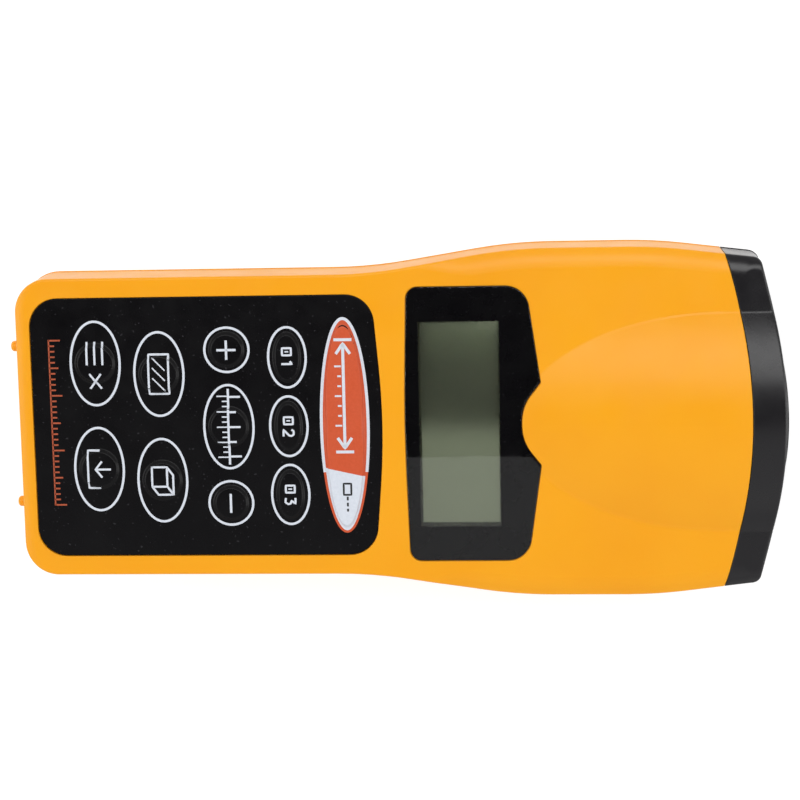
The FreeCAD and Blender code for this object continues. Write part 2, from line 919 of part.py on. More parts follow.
def rear_housing():
    """Lower shell with the battery bay, the door's opening and rails, bosses and laser cradle."""
    outer = common("rear_outer", existing("lower_form"), seam_cylinder("rear_seam"))
    shell = cut("rear_shell", outer, existing("lower_space"))
    bay = box(
        "bay_block",
        (d.bay_back_x - d.bay_wall, d.bay_front_x + d.bay_wall),
        (-d.bay_half - d.bay_wall, d.bay_half + d.bay_wall),
        (d.wall / 2, d.bay_top_z + d.bay_wall),
    )
    bosses = [
        cylinder(f"rear_boss_{index}", (x, y, d.wall / 2), d.boss_r, difference(d.part_z, d.wall / 2))
        for index, (x, y) in enumerate(boss_places())
    ]
    cradle = box(
        "cradle",
        (d.cradle_back_x, d.cradle_front_x),
        (d.laser_y - d.laser_r - d.cradle_wall, d.head_half - d.wall / 2),
        (d.wall / 2, d.laser_z),
    )
    blocks = common("blocks_inside", fuse("blocks", bay, cradle), existing("lower_form"))
    solid = fuse("rear_solid", shell, blocks, *bosses)
    bay_space = box("bay_space", (d.bay_back_x, d.bay_front_x), (-d.bay_half, d.bay_half), (-d.wall, d.bay_top_z))
    lead_hole = box(
        "lead_hole",
        (d.bay_front_x - d.wall, d.bay_front_x + d.wall * 2),
        (-d.lead_y - d.lead_hole, d.lead_y + d.lead_hole),
        (d.lead_z - d.lead_hole, d.lead_z + d.lead_hole),
    )
    laser_seat = cylinder("laser_seat", (d.laser_back_x, d.laser_y, d.laser_z), d.laser_r + d.fit_gap / 2,
                          difference(d.laser_front_x, d.laser_back_x), along_x=True)
    sinks = [
        cylinder(f"screw_sink_{index}", (x, y, -d.wall), d.screw_sink_r, d.screw_sink + d.wall)
        for index, (x, y) in enumerate(boss_places())
    ]
    pilots = [
        cylinder(f"rear_pilot_{index}", (x, y, d.screw_sink / 2), d.screw_r, d.part_z)
        for index, (x, y) in enumerate(boss_places())
    ]
    tools = [bay_space, lead_hole, laser_seat, *sinks, *pilots, *door_clearances()]
    node("rear_housing", cut("rear_housing", solid, *tools))


# ---------------------------------------------------------------- battery door

def door_clearances():
    """The opening for the door, the slots its rails run in and the pocket its catch clicks into."""
    behind = -d.base_x - d.wall * 2
    plate = box("door_opening", (behind, d.door_front_x), (-d.door_half - d.door_gap, d.door_half + d.door_gap),
                (-d.wall, d.door_thick + d.fit_gap))
    rail_half = d.door_half + d.rail_width + d.door_gap
    rails = box("rail_slots", (behind, d.door_front_x), (-rail_half, rail_half), (d.rail_floor_z, d.rail_roof_z))
    catch_half = d.catch_half + d.door_gap
    catch = box(
        "catch_pocket",
        (d.door_front_x - d.wall, d.door_front_x + d.catch_reach + d.door_gap),
        (-catch_half, catch_half),
        (d.rail_floor_z, d.rail_roof_z),
    )
    return [plate, rails, catch]


def battery_door():
    """Sliding door: a piece of the back with two rails inside, a catch and finger ribs."""
    front = d.door_front_x - d.door_gap
    limits = box("door_limits", (-d.base_x - d.wall, front), (-d.door_half, d.door_half), (-d.wall, d.door_thick))
    plate = common("door_plate", existing("lower_form"), limits)
    rails = [
        box(f"rail_{index}", (d.rail_back_x, front), y_range, (d.door_thick - d.fit_gap / 2, d.rail_top_z))
        for index, y_range in enumerate([
            (d.door_half - d.rail_root, d.door_half + d.rail_width),
            (-d.door_half - d.rail_width, -d.door_half + d.rail_root),
        ])
    ]
    catch = box("catch", (front - d.wall, front + d.catch_reach), (-d.catch_half, d.catch_half),
                (d.door_thick - d.fit_gap / 2, d.rail_top_z))
    ribs = [
        box(f"finger_rib_{index}", (d.rib_x - d.rib_pitch * index, d.rib_x - d.rib_pitch * index + d.rib_width),
            (-d.rib_half, d.rib_half), (-d.wall, d.rib_depth))
        for index in range(int(d.rib_count.value))
    ]
    node("battery_door", cut("battery_door", fuse("door_solid", plate, *rails, catch), *ribs))


def battery():
    """A nine volt block battery with its pad, snap connector and the pad on the door."""
    node("battery_pad", box("battery_pad", (d.pad_back_x, d.pad_front_x), (-d.pad_half, d.pad_half),
                            (d.door_thick, d.pad_top_z)))
    cell_front = d.cell_back_x + d.cell_length
    block = box("cell_block", (d.cell_back_x, cell_front), (-d.cell_half, d.cell_half), (d.cell_low_z, d.cell_high_z))

    def long_edge(edge):
        along = abs(edge.Vertexes[0].X - edge.Vertexes[-1].X) > CLOSE
        return (d.cell_edge_r.value, d.cell_edge_r.value) if along else None

    node("battery_case", fillet("battery_case", block, long_edge))
    middle_z = (d.cell_low_z + d.cell_high_z) / 2
    studs = [
        cylinder("battery_stud", (cell_front, d.stud_y, middle_z), d.stud_r, d.stud_height, along_x=True),
        cylinder("battery_socket", (cell_front, -d.stud_y, middle_z), d.socket_r - d.door_gap, d.stud_height,
                 along_x=True),
    ]
    node("battery_terminals", group("battery_terminals", *studs))
    plate = box(
        "snap_plate",
        (cell_front + d.fit_gap, d.snap_front_x),
        (-d.snap_half, d.snap_half),
        (d.cell_low_z + d.snap_margin, d.cell_high_z - d.snap_margin),
    )
    wells = [
        cylinder(f"snap_well_{index}", (cell_front, y, middle_z), d.socket_r, d.stud_height + d.fit_gap, along_x=True)
        for index, y in enumerate(both_sides(d.stud_y))
    ]
    node("battery_snap", cut("battery_snap", plate, *wells))


# ---------------------------------------------------------------- leads

def lead(name, points):
    """A round insulated lead along straight runs joined by tangent arcs."""
    corners = [Vector(*(number(value) for value in point)) for point in points]
    edges = []
    start = corners[0]
    for before, corner, after in zip(corners, corners[1:], corners[2:]):
        into = (corner - before).normalize()
        out = (after - corner).normalize()
        reach = min(corner.distanceToPoint(before), corner.distanceToPoint(after)) * LEAD_BEND
        first = corner - into * reach
        last = corner + out * reach
        turn = into.getAngle(out)
        radius = reach / math.tan(turn / 2)
        bisector = (out - into).normalize()
        centre = corner + bisector * (radius / math.cos(turn / 2))
        middle = centre - bisector * radius
        edges.append(Part.LineSegment(start, first).toShape())
        edges.append(Part.Arc(first, middle, last).toShape())
        start = last
    edges.append(Part.LineSegment(start, corners[-1]).toShape())
    path = doc.addObject("Part::Feature", f"{name}_path")
    path.Shape = Part.Wire(edges)
    direction = (corners[1] - corners[0]).normalize()
    ring = doc.addObject("Part::Circle", f"{name}_section")
    bind(ring, "Radius", d.lead_r)
    ring.Placement = Placement(corners[0], Rotation(Vector(0, 0, 1), direction))
    sweep = doc.addObject("Part::Sweep", name)
    sweep.Sections = [ring]
    sweep.Spine = (path, [f"Edge{index + 1}" for index in range(len(edges))])
    sweep.Solid = True
    return sweep


def leads():
    """Battery leads rise behind the bay to the board; the laser's two leads run back to it."""
    for name, y in (("battery_lead_red", d.lead_y), ("battery_lead_black", -d.lead_y)):
        node(name, lead(name, [
            (d.snap_front_x, y, d.lead_z),
            (d.lead_rise_x, y, d.lead_z),
            (d.lead_rise_x, y, d.board_z),
        ]))
    laser_leads = [
        lead(f"laser_lead_{index}", [
            (d.laser_back_x, d.laser_y + offset, d.laser_z),
            (d.laser_back_x - d.laser_lead_run, d.laser_y + offset, d.laser_z),
            (d.laser_back_x - d.laser_lead_run * 2, d.laser_lead_y + offset, d.laser_z),
            (d.laser_lead_x, d.laser_lead_y + offset, d.laser_z),
            (d.laser_lead_x, d.laser_lead_y + offset, d.board_z),
        ])
        for index, offset in enumerate((-1.0, 1.0))
    ]
    node("laser_leads", group("laser_leads", *laser_leads))


# ---------------------------------------------------------------- board and display

def boards():
    corners = symmetric([
        (d.board_front_x, d.board_head_half, d.board_corner_r),
        (d.board_step_x, d.board_head_half, d.board_corner_r),
        (d.board_step_x, d.board_half, d.board_corner_r),
        (d.board_notch_x, d.board_half, d.board_corner_r),
        (d.board_notch_x, d.board_notch_half, d.board_corner_r),
        (d.board_back_x, d.board_notch_half, d.board_corner_r),
    ])
    top = d.board_z + d.board_thick
    sheet = prism("board_sheet", corners, d.board_z, top)
    holes = [
        cylinder(f"board_hole_{index}", (x, y, d.board_z - d.wall), d.board_screw_r, d.wall * 3)
        for index, (x, y) in enumerate(post_places())
    ]
    node("main_board", cut("main_board", sheet, *holes))
    chip = box("chip", (d.chip_x, d.chip_x + d.chip_side), (-d.chip_side / 2, d.chip_side / 2),
               (d.board_z - d.chip_height, d.board_z))
    amplifier_x = d.chip_x + d.chip_side * 2
    amplifier = box("amplifier", (amplifier_x, amplifier_x + d.chip_side / 2), (-d.chip_side / 2, d.chip_side / 2),
                    (d.board_z - d.chip_height, d.board_z))
    node("board_chips", group("board_chips", chip, amplifier))
    low = d.board_z - d.capacitor_height
    node("board_capacitors", group("board_capacitors", *[
        cylinder(f"capacitor_{index}", (d.capacitor_x, y, low), d.capacitor_r, d.capacitor_height)
        for index, y in enumerate(both_sides(d.capacitor_y))
    ]))
    node("clock_crystal", box(
        "clock_crystal",
        (d.crystal_x, d.crystal_x + d.crystal_width),
        (d.crystal_y - d.crystal_length, d.crystal_y),
        (d.board_z - d.crystal_height, d.board_z),
    ))
    core = box(
        "drive_transformer",
        (d.transformer_x, d.transformer_x + d.transformer_side),
        (d.transformer_y - d.transformer_side / 2, d.transformer_y + d.transformer_side / 2),
        (d.board_z - d.transformer_height, d.board_z),
    )
    node("drive_transformer", core)
    node("sounder", cylinder("sounder", (d.sounder_x, d.sounder_y, d.board_z - d.sounder_height), d.sounder_r,
                             d.sounder_height))


def board_screws():
    screws = []
    for index, (x, y) in enumerate(post_places()):
        head = cylinder(f"board_screw_head_{index}", (x, y, d.board_z - d.board_screw_head),
                        d.board_screw_head_r, d.board_screw_head)
        shank = cylinder(f"board_screw_shank_{index}", (x, y, d.board_z), d.board_screw_r,
                         d.board_thick + d.board_screw_depth)
        screws.append(fuse(f"board_screw_{index}", head, shank))
    node("board_screws", group("board_screws", *screws))


def display():
    top = d.face_z - d.window_sink
    window_low = top - d.window_thick
    outline = inset(window_outline(), d.edge_gap)
    node("display_window", prism("display_window", outline, window_low, top))
    mask = prism("mask_sheet", outline, window_low - d.mask_thick, window_low)
    view = box("mask_view", (d.view_x, d.view_end_x), (-d.view_half, d.view_half),
               (window_low - d.wall, window_low + d.wall))
    node("window_mask", cut("window_mask", mask, view))
    glass_top = d.glass_low_z + d.glass_thick
    node("display_glass", box("display_glass", (d.glass_x, d.glass_end_x), (-d.glass_half, d.glass_half),
                              (d.glass_low_z, glass_top)))
    board_top = d.board_z + d.board_thick
    tray = box(
        "tray_block",
        (d.glass_x - d.tray_wall, d.glass_end_x + d.tray_wall),
        (-d.glass_half - d.tray_wall, d.glass_half + d.tray_wall),
        (board_top, d.tray_top_z),
    )
    space = box(
        "tray_space",
        (d.glass_x - d.fit_gap, d.glass_end_x + d.fit_gap),
        (-d.glass_half - d.fit_gap, d.glass_half + d.fit_gap),
        (board_top - d.wall, d.tray_top_z + d.wall),
    )
    node("display_frame", cut("display_frame", tray, space))
    strips = [
        box(f"zebra_{index}", (x, x + d.zebra_width), (-d.zebra_half, d.zebra_half), (board_top, d.glass_low_z))
        for index, x in enumerate((d.glass_x + d.fit_gap, d.glass_end_x - d.fit_gap - d.zebra_width))
    ]
    node("display_contacts", group("display_contacts", *strips))


# ---------------------------------------------------------------- nose, horn and laser

def front_bezel():
    """Cap that closes the nose, with the horn's mouth and the laser's port."""
    form = fuse("nose_form", existing("upper_form"), existing("lower_form"))
    block = cut("nose_block", form, seam_cylinder("bezel_seam", d.seam_gap))
    inside = fuse("bezel_inside", existing("upper_space"), existing("lower_space"))
    shell = cut("bezel_shell", block, inside)
    collar = cylinder("mouth_collar", (d.mouth_x, 0, d.horn_z), d.mouth_r + d.horn_wall,
                      difference(d.nose_x, d.mouth_x), along_x=True)
    nose_disc = cylinder("nose_disc", (d.nose_x - d.nose_r, 0, 0), d.nose_r, d.top_z)
    trimmed = common("collar_trimmed", collar, nose_disc)
    mouth = cylinder("mouth_hole", (d.throat_x, 0, d.horn_z), d.mouth_r, d.nose_x, along_x=True)
    port = cylinder("laser_port", (d.laser_back_x, d.laser_y, d.laser_z), d.laser_port_r, d.nose_x, along_x=True)
    tabs = common("tongues_trimmed", fuse("tongues_long", *tongues()), form)
    solid = fuse("bezel_solid", shell, trimmed, tabs)
    node("front_bezel", cut("front_bezel", solid, mouth, port))


def tongues():
    """Tongues that reach back from the bezel, two under the face and two over the floor."""
    roof = roof_low() - d.fit_gap / 2
    floor = d.wall + d.fit_gap / 2
    places = [(y, (roof - d.tongue_thick, roof)) for y in both_sides(d.tongue_top_y)]
    places += [(y, (floor, floor + d.tongue_thick)) for y in both_sides(d.tongue_floor_y)]
    return [
        box(f"tongue_{index}", (d.tongue_back_x, d.nose_x), (y - d.tongue_half, y + d.tongue_half), heights)
        for index, (y, heights) in enumerate(places)
    ]


def flare(start, end, radius):
    """An arc from start to end that curves outward like a trumpet, as (centre, from, to)."""
    middle = ((start[0] + end[0]) / 2, (start[1] + end[1]) / 2)
    along = unit(start, end)
    half = math.dist(start, end) / 2
    rise = math.sqrt(radius ** 2 - half ** 2)
    centre = (middle[0] - along[1] * rise, middle[1] + along[0] * rise)
    first = math.degrees(math.atan2(start[1] - centre[1], start[0] - centre[0]))
    return centre, first, first + math.degrees(2 * math.asin(half / radius))


def horn():
    """Flared horn with a socket at its throat for the transducer and its rubber ring."""
    radius = d.horn_flare_r.value
    wall = d.horn_wall.value
    throat = (d.throat_x.value, d.throat_r.value)
    mouth = (d.mouth_x.value, d.mouth_r.value)
    back_throat = (throat[0], d.grommet_r.value + d.collar_wall.value)
    outer_mouth = (mouth[0], mouth[1] + wall)
    centre, first, last = flare(throat, mouth, radius)
    outer_centre, outer_first, outer_last = flare(back_throat, outer_mouth, radius)
    socket_back = d.socket_back_x.value
    chain = [
        ("arc", centre, radius, first, last),
        ("line", mouth, outer_mouth),
        ("arc", outer_centre, radius, outer_last, outer_first),
        ("line", back_throat, (socket_back, back_throat[1])),
        ("line", (socket_back, back_throat[1]), (socket_back, d.grommet_r.value)),
        ("line", (socket_back, d.grommet_r.value), (d.can_front_x.value, d.grommet_r.value)),
        ("line", (d.can_front_x.value, d.grommet_r.value), (d.can_front_x.value, throat[1])),
        ("line", (d.can_front_x.value, throat[1]), throat),
    ]
    node("sensor_horn", turned("sensor_horn", chain, d.horn_z))


def transducer():
    """A round ultrasonic transducer: can, mesh front, rubber ring, pins and its driver board."""
    mesh_back = d.can_front_x - d.mesh_thick
    node("transducer_can", cylinder("transducer_can", (d.can_back_x, 0, d.horn_z), d.can_r,
                                    difference(mesh_back, d.can_back_x), along_x=True))
    disc = cylinder("mesh_disc", (mesh_back, 0, d.horn_z), d.can_r, d.mesh_thick, along_x=True)
    holes = [cylinder("mesh_hole_middle", (mesh_back - d.wall, 0, d.horn_z), d.mesh_hole_r, d.wall * 3, along_x=True)]
    for ring in range(1, int(d.mesh_rings.value) + 1):
        for step in range(6 * ring):
            y, up = point_on((0, 0), ring * d.mesh_pitch.value, 60 * step / ring)
            at = (mesh_back - d.wall, y, d.horn_z + up)
            holes.append(cylinder(f"mesh_hole_{ring}_{step}", at, d.mesh_hole_r, d.wall * 3, along_x=True))
    node("transducer_mesh", cut("transducer_mesh", disc, *holes))
    ring = cylinder("grommet_ring", (d.socket_back_x, 0, d.horn_z), d.grommet_r,
                    difference(d.can_front_x, d.socket_back_x), along_x=True)
    bore = cylinder("grommet_bore", (d.socket_back_x - d.wall, 0, d.horn_z), d.can_r,
                    difference(d.can_front_x, d.socket_back_x) + d.wall * 2, along_x=True)
    node("transducer_ring", cut("transducer_ring", ring, bore))
    half = d.sensor_board_half
    board_front = d.sensor_board_x + d.sensor_board_thick
    node("sensor_board", box("sensor_board", (d.sensor_board_x, board_front), (-half, half),
                             (d.horn_z - half, d.horn_z + half)))
    node("transducer_pins", group("transducer_pins", *[
        cylinder(f"pin_{index}", (board_front, y, d.horn_z), d.pin_r, difference(d.can_back_x, board_front),
                 along_x=True)
        for index, y in enumerate(both_sides(d.pin_y))
    ]))


def laser():
    """Laser pointer module: a brass barrel with its lens, held down by a strap on its cradle."""
    at = (d.laser_back_x, d.laser_y, d.laser_z)
    tube = cylinder("laser_tube", at, d.laser_r, difference(d.laser_front_x, d.laser_back_x), along_x=True)
    bore = cylinder("laser_bore", (d.lens_x, d.laser_y, d.laser_z), d.laser_bore_r,
                    difference(d.laser_front_x, d.lens_x) + d.wall, along_x=True)
    node("laser_barrel", cut("laser_barrel", tube, bore))
    node("laser_lens", cylinder("laser_lens", (d.lens_x, d.laser_y, d.laser_z), d.laser_bore_r, d.lens_thick,
                                along_x=True))
    reach = d.laser_r + d.cradle_wall
    block = box("strap_block", (d.cradle_back_x, d.cradle_front_x), (d.laser_y - reach, d.laser_y + reach),
                (d.laser_z, d.laser_z + reach))
    seat = cylinder("strap_seat", at, d.laser_r + d.fit_gap / 2, difference(d.laser_front_x, d.laser_back_x), along_x=True)
    node("laser_clamp", cut("laser_clamp", block, seat))


def housing_screws():
    """Cross-slotted screws that go up through the bosses from the back."""
    screws = []
    for index, (x, y) in enumerate(boss_places()):
        head_low = d.screw_sink - d.screw_head
        head = cylinder(f"screw_head_{index}", (x, y, head_low), d.screw_head_r, d.screw_head)
        shank = cylinder(f"screw_shank_{index}", (x, y, d.screw_sink), d.screw_r, d.screw_length)
        slots = [
            box(f"screw_slot_{index}_{turn}", (x - long_x, x + long_x), (y - long_y, y + long_y),
                (head_low - d.wall, head_low + d.screw_slot_depth))
            for turn, (long_x, long_y) in enumerate([
                (d.screw_sink_r / 2, d.screw_slot_width / 2),
                (d.screw_slot_width / 2, d.screw_sink_r / 2),
            ])
        ]
        screws.append(cut(f"screw_{index}", fuse(f"screw_body_{index}", head, shank), *slots))
    node("housing_screws", group("housing_screws", *screws))


def check(items):
    """Stops if any object failed to compute or any sub-part is not a sound solid."""
    failed = [item.Name for item in doc.Objects if {"Invalid", "Error"} & set(item.State)]
    unsound = [item.Label for item in items if item.Shape.isNull() or not item.Shape.isValid()]
    empty = [item.Label for item in items if not item.Shape.Solids]
    if failed or unsound or empty:
        raise RuntimeError(f"failed {failed}, unsound {unsound}, empty {empty}")


def main():
    upper_form()
    lower_form()
    upper_space()
    lower_space()
    front_housing()
    rear_housing()
    front_bezel()
    keypad_film()
    keys()
    dome_switches()
    boards()
    board_screws()
    display()
    horn()
    transducer()
    laser()
    battery_door()
    battery()
    leads()
    housing_screws()
    doc.recompute()
    check(NODES)
    os.makedirs("parts", exist_ok=True)
    for item in NODES:
        item.Shape.exportStep(f"parts/{item.Label}.step")


main()
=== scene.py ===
"""Looks of the handheld distance meter: film keypad, display, materials, light and camera.

Everything is in metres in the model's own frame: +X to the sensor nose, +Z out of the keypad face.
Lengths below are in millimetres and are scaled by MM where they meet Blender.
"""
import functools
import json
import math

import bmesh
import bpy
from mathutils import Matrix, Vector


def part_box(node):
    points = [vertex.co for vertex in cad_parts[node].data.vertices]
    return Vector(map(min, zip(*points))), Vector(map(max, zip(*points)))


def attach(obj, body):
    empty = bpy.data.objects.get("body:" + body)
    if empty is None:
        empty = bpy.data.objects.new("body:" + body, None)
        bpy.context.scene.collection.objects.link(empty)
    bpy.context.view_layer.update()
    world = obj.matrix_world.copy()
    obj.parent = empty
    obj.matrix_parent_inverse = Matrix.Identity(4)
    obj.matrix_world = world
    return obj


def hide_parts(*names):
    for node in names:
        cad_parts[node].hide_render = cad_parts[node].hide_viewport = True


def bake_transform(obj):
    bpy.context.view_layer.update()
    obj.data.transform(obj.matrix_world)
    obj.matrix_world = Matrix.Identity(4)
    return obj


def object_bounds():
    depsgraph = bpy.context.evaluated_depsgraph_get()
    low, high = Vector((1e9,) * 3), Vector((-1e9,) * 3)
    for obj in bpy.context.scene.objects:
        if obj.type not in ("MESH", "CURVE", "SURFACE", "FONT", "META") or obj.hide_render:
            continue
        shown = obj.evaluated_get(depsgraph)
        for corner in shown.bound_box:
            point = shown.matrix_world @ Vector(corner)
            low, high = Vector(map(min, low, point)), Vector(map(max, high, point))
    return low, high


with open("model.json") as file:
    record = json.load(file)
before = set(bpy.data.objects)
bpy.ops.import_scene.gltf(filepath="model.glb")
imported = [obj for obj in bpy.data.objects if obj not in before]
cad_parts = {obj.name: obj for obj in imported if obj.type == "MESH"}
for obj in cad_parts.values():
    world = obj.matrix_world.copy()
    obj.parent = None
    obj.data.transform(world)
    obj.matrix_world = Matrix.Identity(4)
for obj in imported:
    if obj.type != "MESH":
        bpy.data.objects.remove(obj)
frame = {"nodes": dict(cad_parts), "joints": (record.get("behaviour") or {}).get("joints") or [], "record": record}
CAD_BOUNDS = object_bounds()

MM = 0.001
KEYS = [joint["child"] for joint in frame["joints"] if joint["child"].startswith("key_")]


@functools.cache
def box_mm(node):
    """A node's lowest and highest corners, in millimetres."""
    low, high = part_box(node)
    return low / MM, high / MM


def centre_mm(node):
    low, high = box_mm(node)
    return (low + high) / 2


FILM_LOW, FILM_HIGH = box_mm("keypad_overlay")
FILM_TOP = FILM_HIGH.z
DOME_RISE = box_mm(KEYS[0])[1].z - FILM_TOP
WINDOW_LOW, WINDOW_HIGH = box_mm("display_window")


# ---------------------------------------------------------------- materials

def srgb(red, green, blue):
    """Linear colour from 0-255 screen values."""
    def linear(value):
        value /= 255
        return value / 12.92 if value <= 0.04045 else ((value + 0.055) / 1.055) ** 2.4
    return (linear(red), linear(green), linear(blue), 1.0)


class Surface:
    """A node material with helpers for noise, ramps and bump in object space."""

    def __init__(self, name, **settings):
        self.material = bpy.data.materials.new(name)
        self.material.use_nodes = True
        self.tree = self.material.node_tree
        self.shader = self.tree.nodes["Principled BSDF"]
        for socket, value in settings.items():
            self.shader.inputs[socket.replace("_", " ")].default_value = value
        self.place = self.add("ShaderNodeTexCoord").outputs["Object"]
        self.normal = None

    def add(self, kind, **inputs):
        node = self.tree.nodes.new(kind)
        for socket, value in inputs.items():
            self.feed(node.inputs[socket.replace("_", " ")], value)
        return node

    def feed(self, socket, value):
        if isinstance(value, bpy.types.NodeSocket):
            self.tree.links.new(value, socket)
        else:
            socket.default_value = value

    def noise(self, size, detail=3.0, roughness=0.55, stretch=(1, 1, 1)):
        """Noise whose blotches are about size millimetres across."""
        mapping = self.add("ShaderNodeMapping", Vector=self.place, Scale=stretch)
        node = self.add("ShaderNodeTexNoise", Vector=mapping.outputs["Vector"], Scale=1 / (size * MM),
                        Detail=detail, Roughness=roughness)
        return node.outputs["Fac"]

    def scratches(self, size):
        """Thin cell borders, for hairline marks and grain."""
        node = self.add("ShaderNodeTexVoronoi", Vector=self.place, Scale=1 / (size * MM))
        node.feature = "DISTANCE_TO_EDGE"
        return node.outputs["Distance"]

    def between(self, factor, low, high, start=0.3, end=0.7):
        """Maps a factor from start..end to low..high."""
        node = self.add("ShaderNodeMapRange", Value=factor)
        for socket, value in zip(("From Min", "From Max", "To Min", "To Max"), (start, end, low, high)):
            self.feed(node.inputs[socket], value)
        return node.outputs["Result"]

    def mix(self, factor, one, two):
        node = self.add("ShaderNodeMix")
        node.data_type = "RGBA"
        self.feed(node.inputs["Factor"], factor)
        self.feed(node.inputs[6], one)
        self.feed(node.inputs[7], two)
        return node.outputs[2]

    def colour(self, value):
        self.feed(self.shader.inputs["Base Color"], value)
        return self

    def rough(self, factor, low, high):
        self.feed(self.shader.inputs["Roughness"], self.between(factor, low, high))
        return self

    def soften(self, radius):
        """Shades sharp edges as if they were rounded by a radius in millimetres."""
        node = self.add("ShaderNodeBevel", Radius=radius * MM)
        node.samples = 6
        self.normal = node.outputs["Normal"]
        return self

    def bump(self, height, depth, strength=1.0):
        """Adds relief of a depth in millimetres."""
        node = self.add("ShaderNodeBump", Height=height, Distance=depth * MM, Strength=strength)
        if self.normal:
            self.feed(node.inputs["Normal"], self.normal)
        self.normal = node.outputs["Normal"]
        self.feed(self.shader.inputs["Normal"], self.normal)
        return self


def moulded(name, base, shade, roughness, grain=0.35, depth=0.012, edge=0.15, **settings):
    """Moulded plastic: slow colour drift, a fine spark-eroded texture and uneven gloss."""
    surface = Surface(name, **settings)
    surface.soften(edge)
    drift = surface.between(surface.noise(28), 0.0, 1.0)
    surface.colour(surface.mix(drift, base, shade))
    surface.rough(surface.noise(9, detail=5.0), roughness - 0.04, roughness + 0.05)
    surface.bump(surface.noise(grain, detail=2.0), depth)
    return surface.material


def metal(name, base, shade, roughness, stretch=(1, 1, 1), depth=0.004):
    """Bare metal with a directional grain where stretch is uneven."""
    surface = Surface(name, Metallic=1.0)
    grain = surface.noise(0.4, detail=4.0, stretch=stretch)
    surface.colour(surface.mix(surface.between(grain, 0.0, 1.0), base, shade))
    surface.rough(grain, roughness - 0.06, roughness + 0.08)
    surface.bump(grain, depth)
    return surface.material


def painted(name, base, shade, roughness=0.42):
    """Screen-printed ink on the film: slightly uneven cover and the film's own fine texture."""
    surface = Surface(name)
    speckle = surface.noise(0.5, detail=4.0)
    surface.colour(surface.mix(surface.between(speckle, 0.0, 1.0), base, shade))
    surface.rough(surface.noise(2.5), roughness - 0.05, roughness + 0.06)
    surface.bump(surface.noise(0.18), 0.003)
    return surface.material


def film_black():
    """Black polyester film with a fine texture, a soft gloss and a few pale dust specks."""
    surface = Surface("film_black", Specular_IOR_Level=0.2)
    grain = surface.noise(0.22, detail=2.0)
    tone = surface.mix(surface.between(surface.noise(14), 0.0, 1.0), srgb(5, 4, 6), srgb(10, 9, 11))
    specks = surface.between(surface.noise(0.5, detail=0.0), 0.0, 1.0, start=0.80, end=0.82)
    surface.colour(surface.mix(specks, tone, srgb(44, 43, 46)))
    surface.rough(surface.noise(5.0, detail=4.0), 0.24, 0.32)
    surface.bump(grain, 0.008)
    return surface.material


def window_clear():
    surface = Surface("window_clear", Base_Color=(0.93, 0.94, 0.95, 1), Transmission_Weight=1.0, IOR=1.49)
    haze = surface.noise(3.0, detail=5.0)
    surface.rough(haze, 0.0, 0.03)
    surface.bump(surface.noise(18.0), 0.01)
    return surface.material


def display_grey():
    """Reflective liquid crystal glass: a grey-green polariser over a near mirror of a reflector."""
    surface = Surface("display_grey", Metallic=0.92, IOR=1.5)
    cloud = surface.between(surface.noise(60, detail=1.0), 0.0, 1.0)
    tone = surface.mix(cloud, srgb(146, 153, 126), srgb(150, 158, 131))
    weave = surface.between(surface.noise(0.12, detail=1.0), 0.0, 0.18)
    surface.colour(surface.mix(weave, tone, srgb(134, 142, 116)))
    surface.rough(surface.noise(20.0), 0.12, 0.15)
    surface.bump(surface.noise(0.15), 0.0015)
    return surface.material


def circuit_board():
    """Green solder resist with copper tracks showing through as a lighter tone."""
    surface = Surface("circuit_board", Coat_Weight=0.3)
    tracks = surface.between(surface.scratches(3.2), 1.0, 0.0, start=0.02, end=0.09)
    base = surface.mix(surface.noise(8.0), srgb(14, 74, 38), srgb(20, 92, 48))
    surface.colour(surface.mix(tracks, base, srgb(44, 128, 70)))
    surface.rough(surface.noise(4.0), 0.28, 0.4)
    surface.bump(tracks, 0.03)
    return surface.material


def battery_jacket():
    """Printed steel jacket: dark grey with one pale band at the terminal end."""
    surface = Surface("battery_jacket", Metallic=0.3)
    along = surface.add("ShaderNodeSeparateXYZ", Vector=surface.place).outputs["X"]
    low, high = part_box("battery_case")
    edge = high.x - (high.x - low.x) * 0.28
    band = surface.between(along, 0.0, 1.0, start=edge, end=edge + 0.1 * MM)
    jacket = surface.mix(surface.noise(6.0), srgb(38, 46, 58), srgb(46, 55, 68))
    surface.colour(surface.mix(band, jacket, srgb(176, 180, 186)))
    surface.rough(surface.noise(1.2), 0.24, 0.36)
    surface.bump(surface.noise(0.6), 0.006)
    return surface.material


def foam():
    surface = Surface("foam_black", Roughness=0.95)
    cells = surface.scratches(0.6)
    share = surface.between(cells, 0.0, 1.0, start=0.0, end=0.3)
    surface.colour(surface.mix(share, srgb(22, 22, 23), srgb(52, 52, 54)))
    surface.bump(cells, 0.12)
    return surface.material


def zebra_rubber():
    """Elastomer connector: fine dark conductive stripes through pink rubber."""
    surface = Surface("zebra_rubber", Roughness=0.6)
    wave = surface.add("ShaderNodeTexWave", Vector=surface.place, Scale=1 / (1.2 * MM))
    wave.bands_direction = "Y"
    surface.colour(surface.mix(wave.outputs["Fac"], srgb(34, 30, 32), srgb(176, 120, 124)))
    surface.bump(wave.outputs["Fac"], 0.01)
    return surface.material


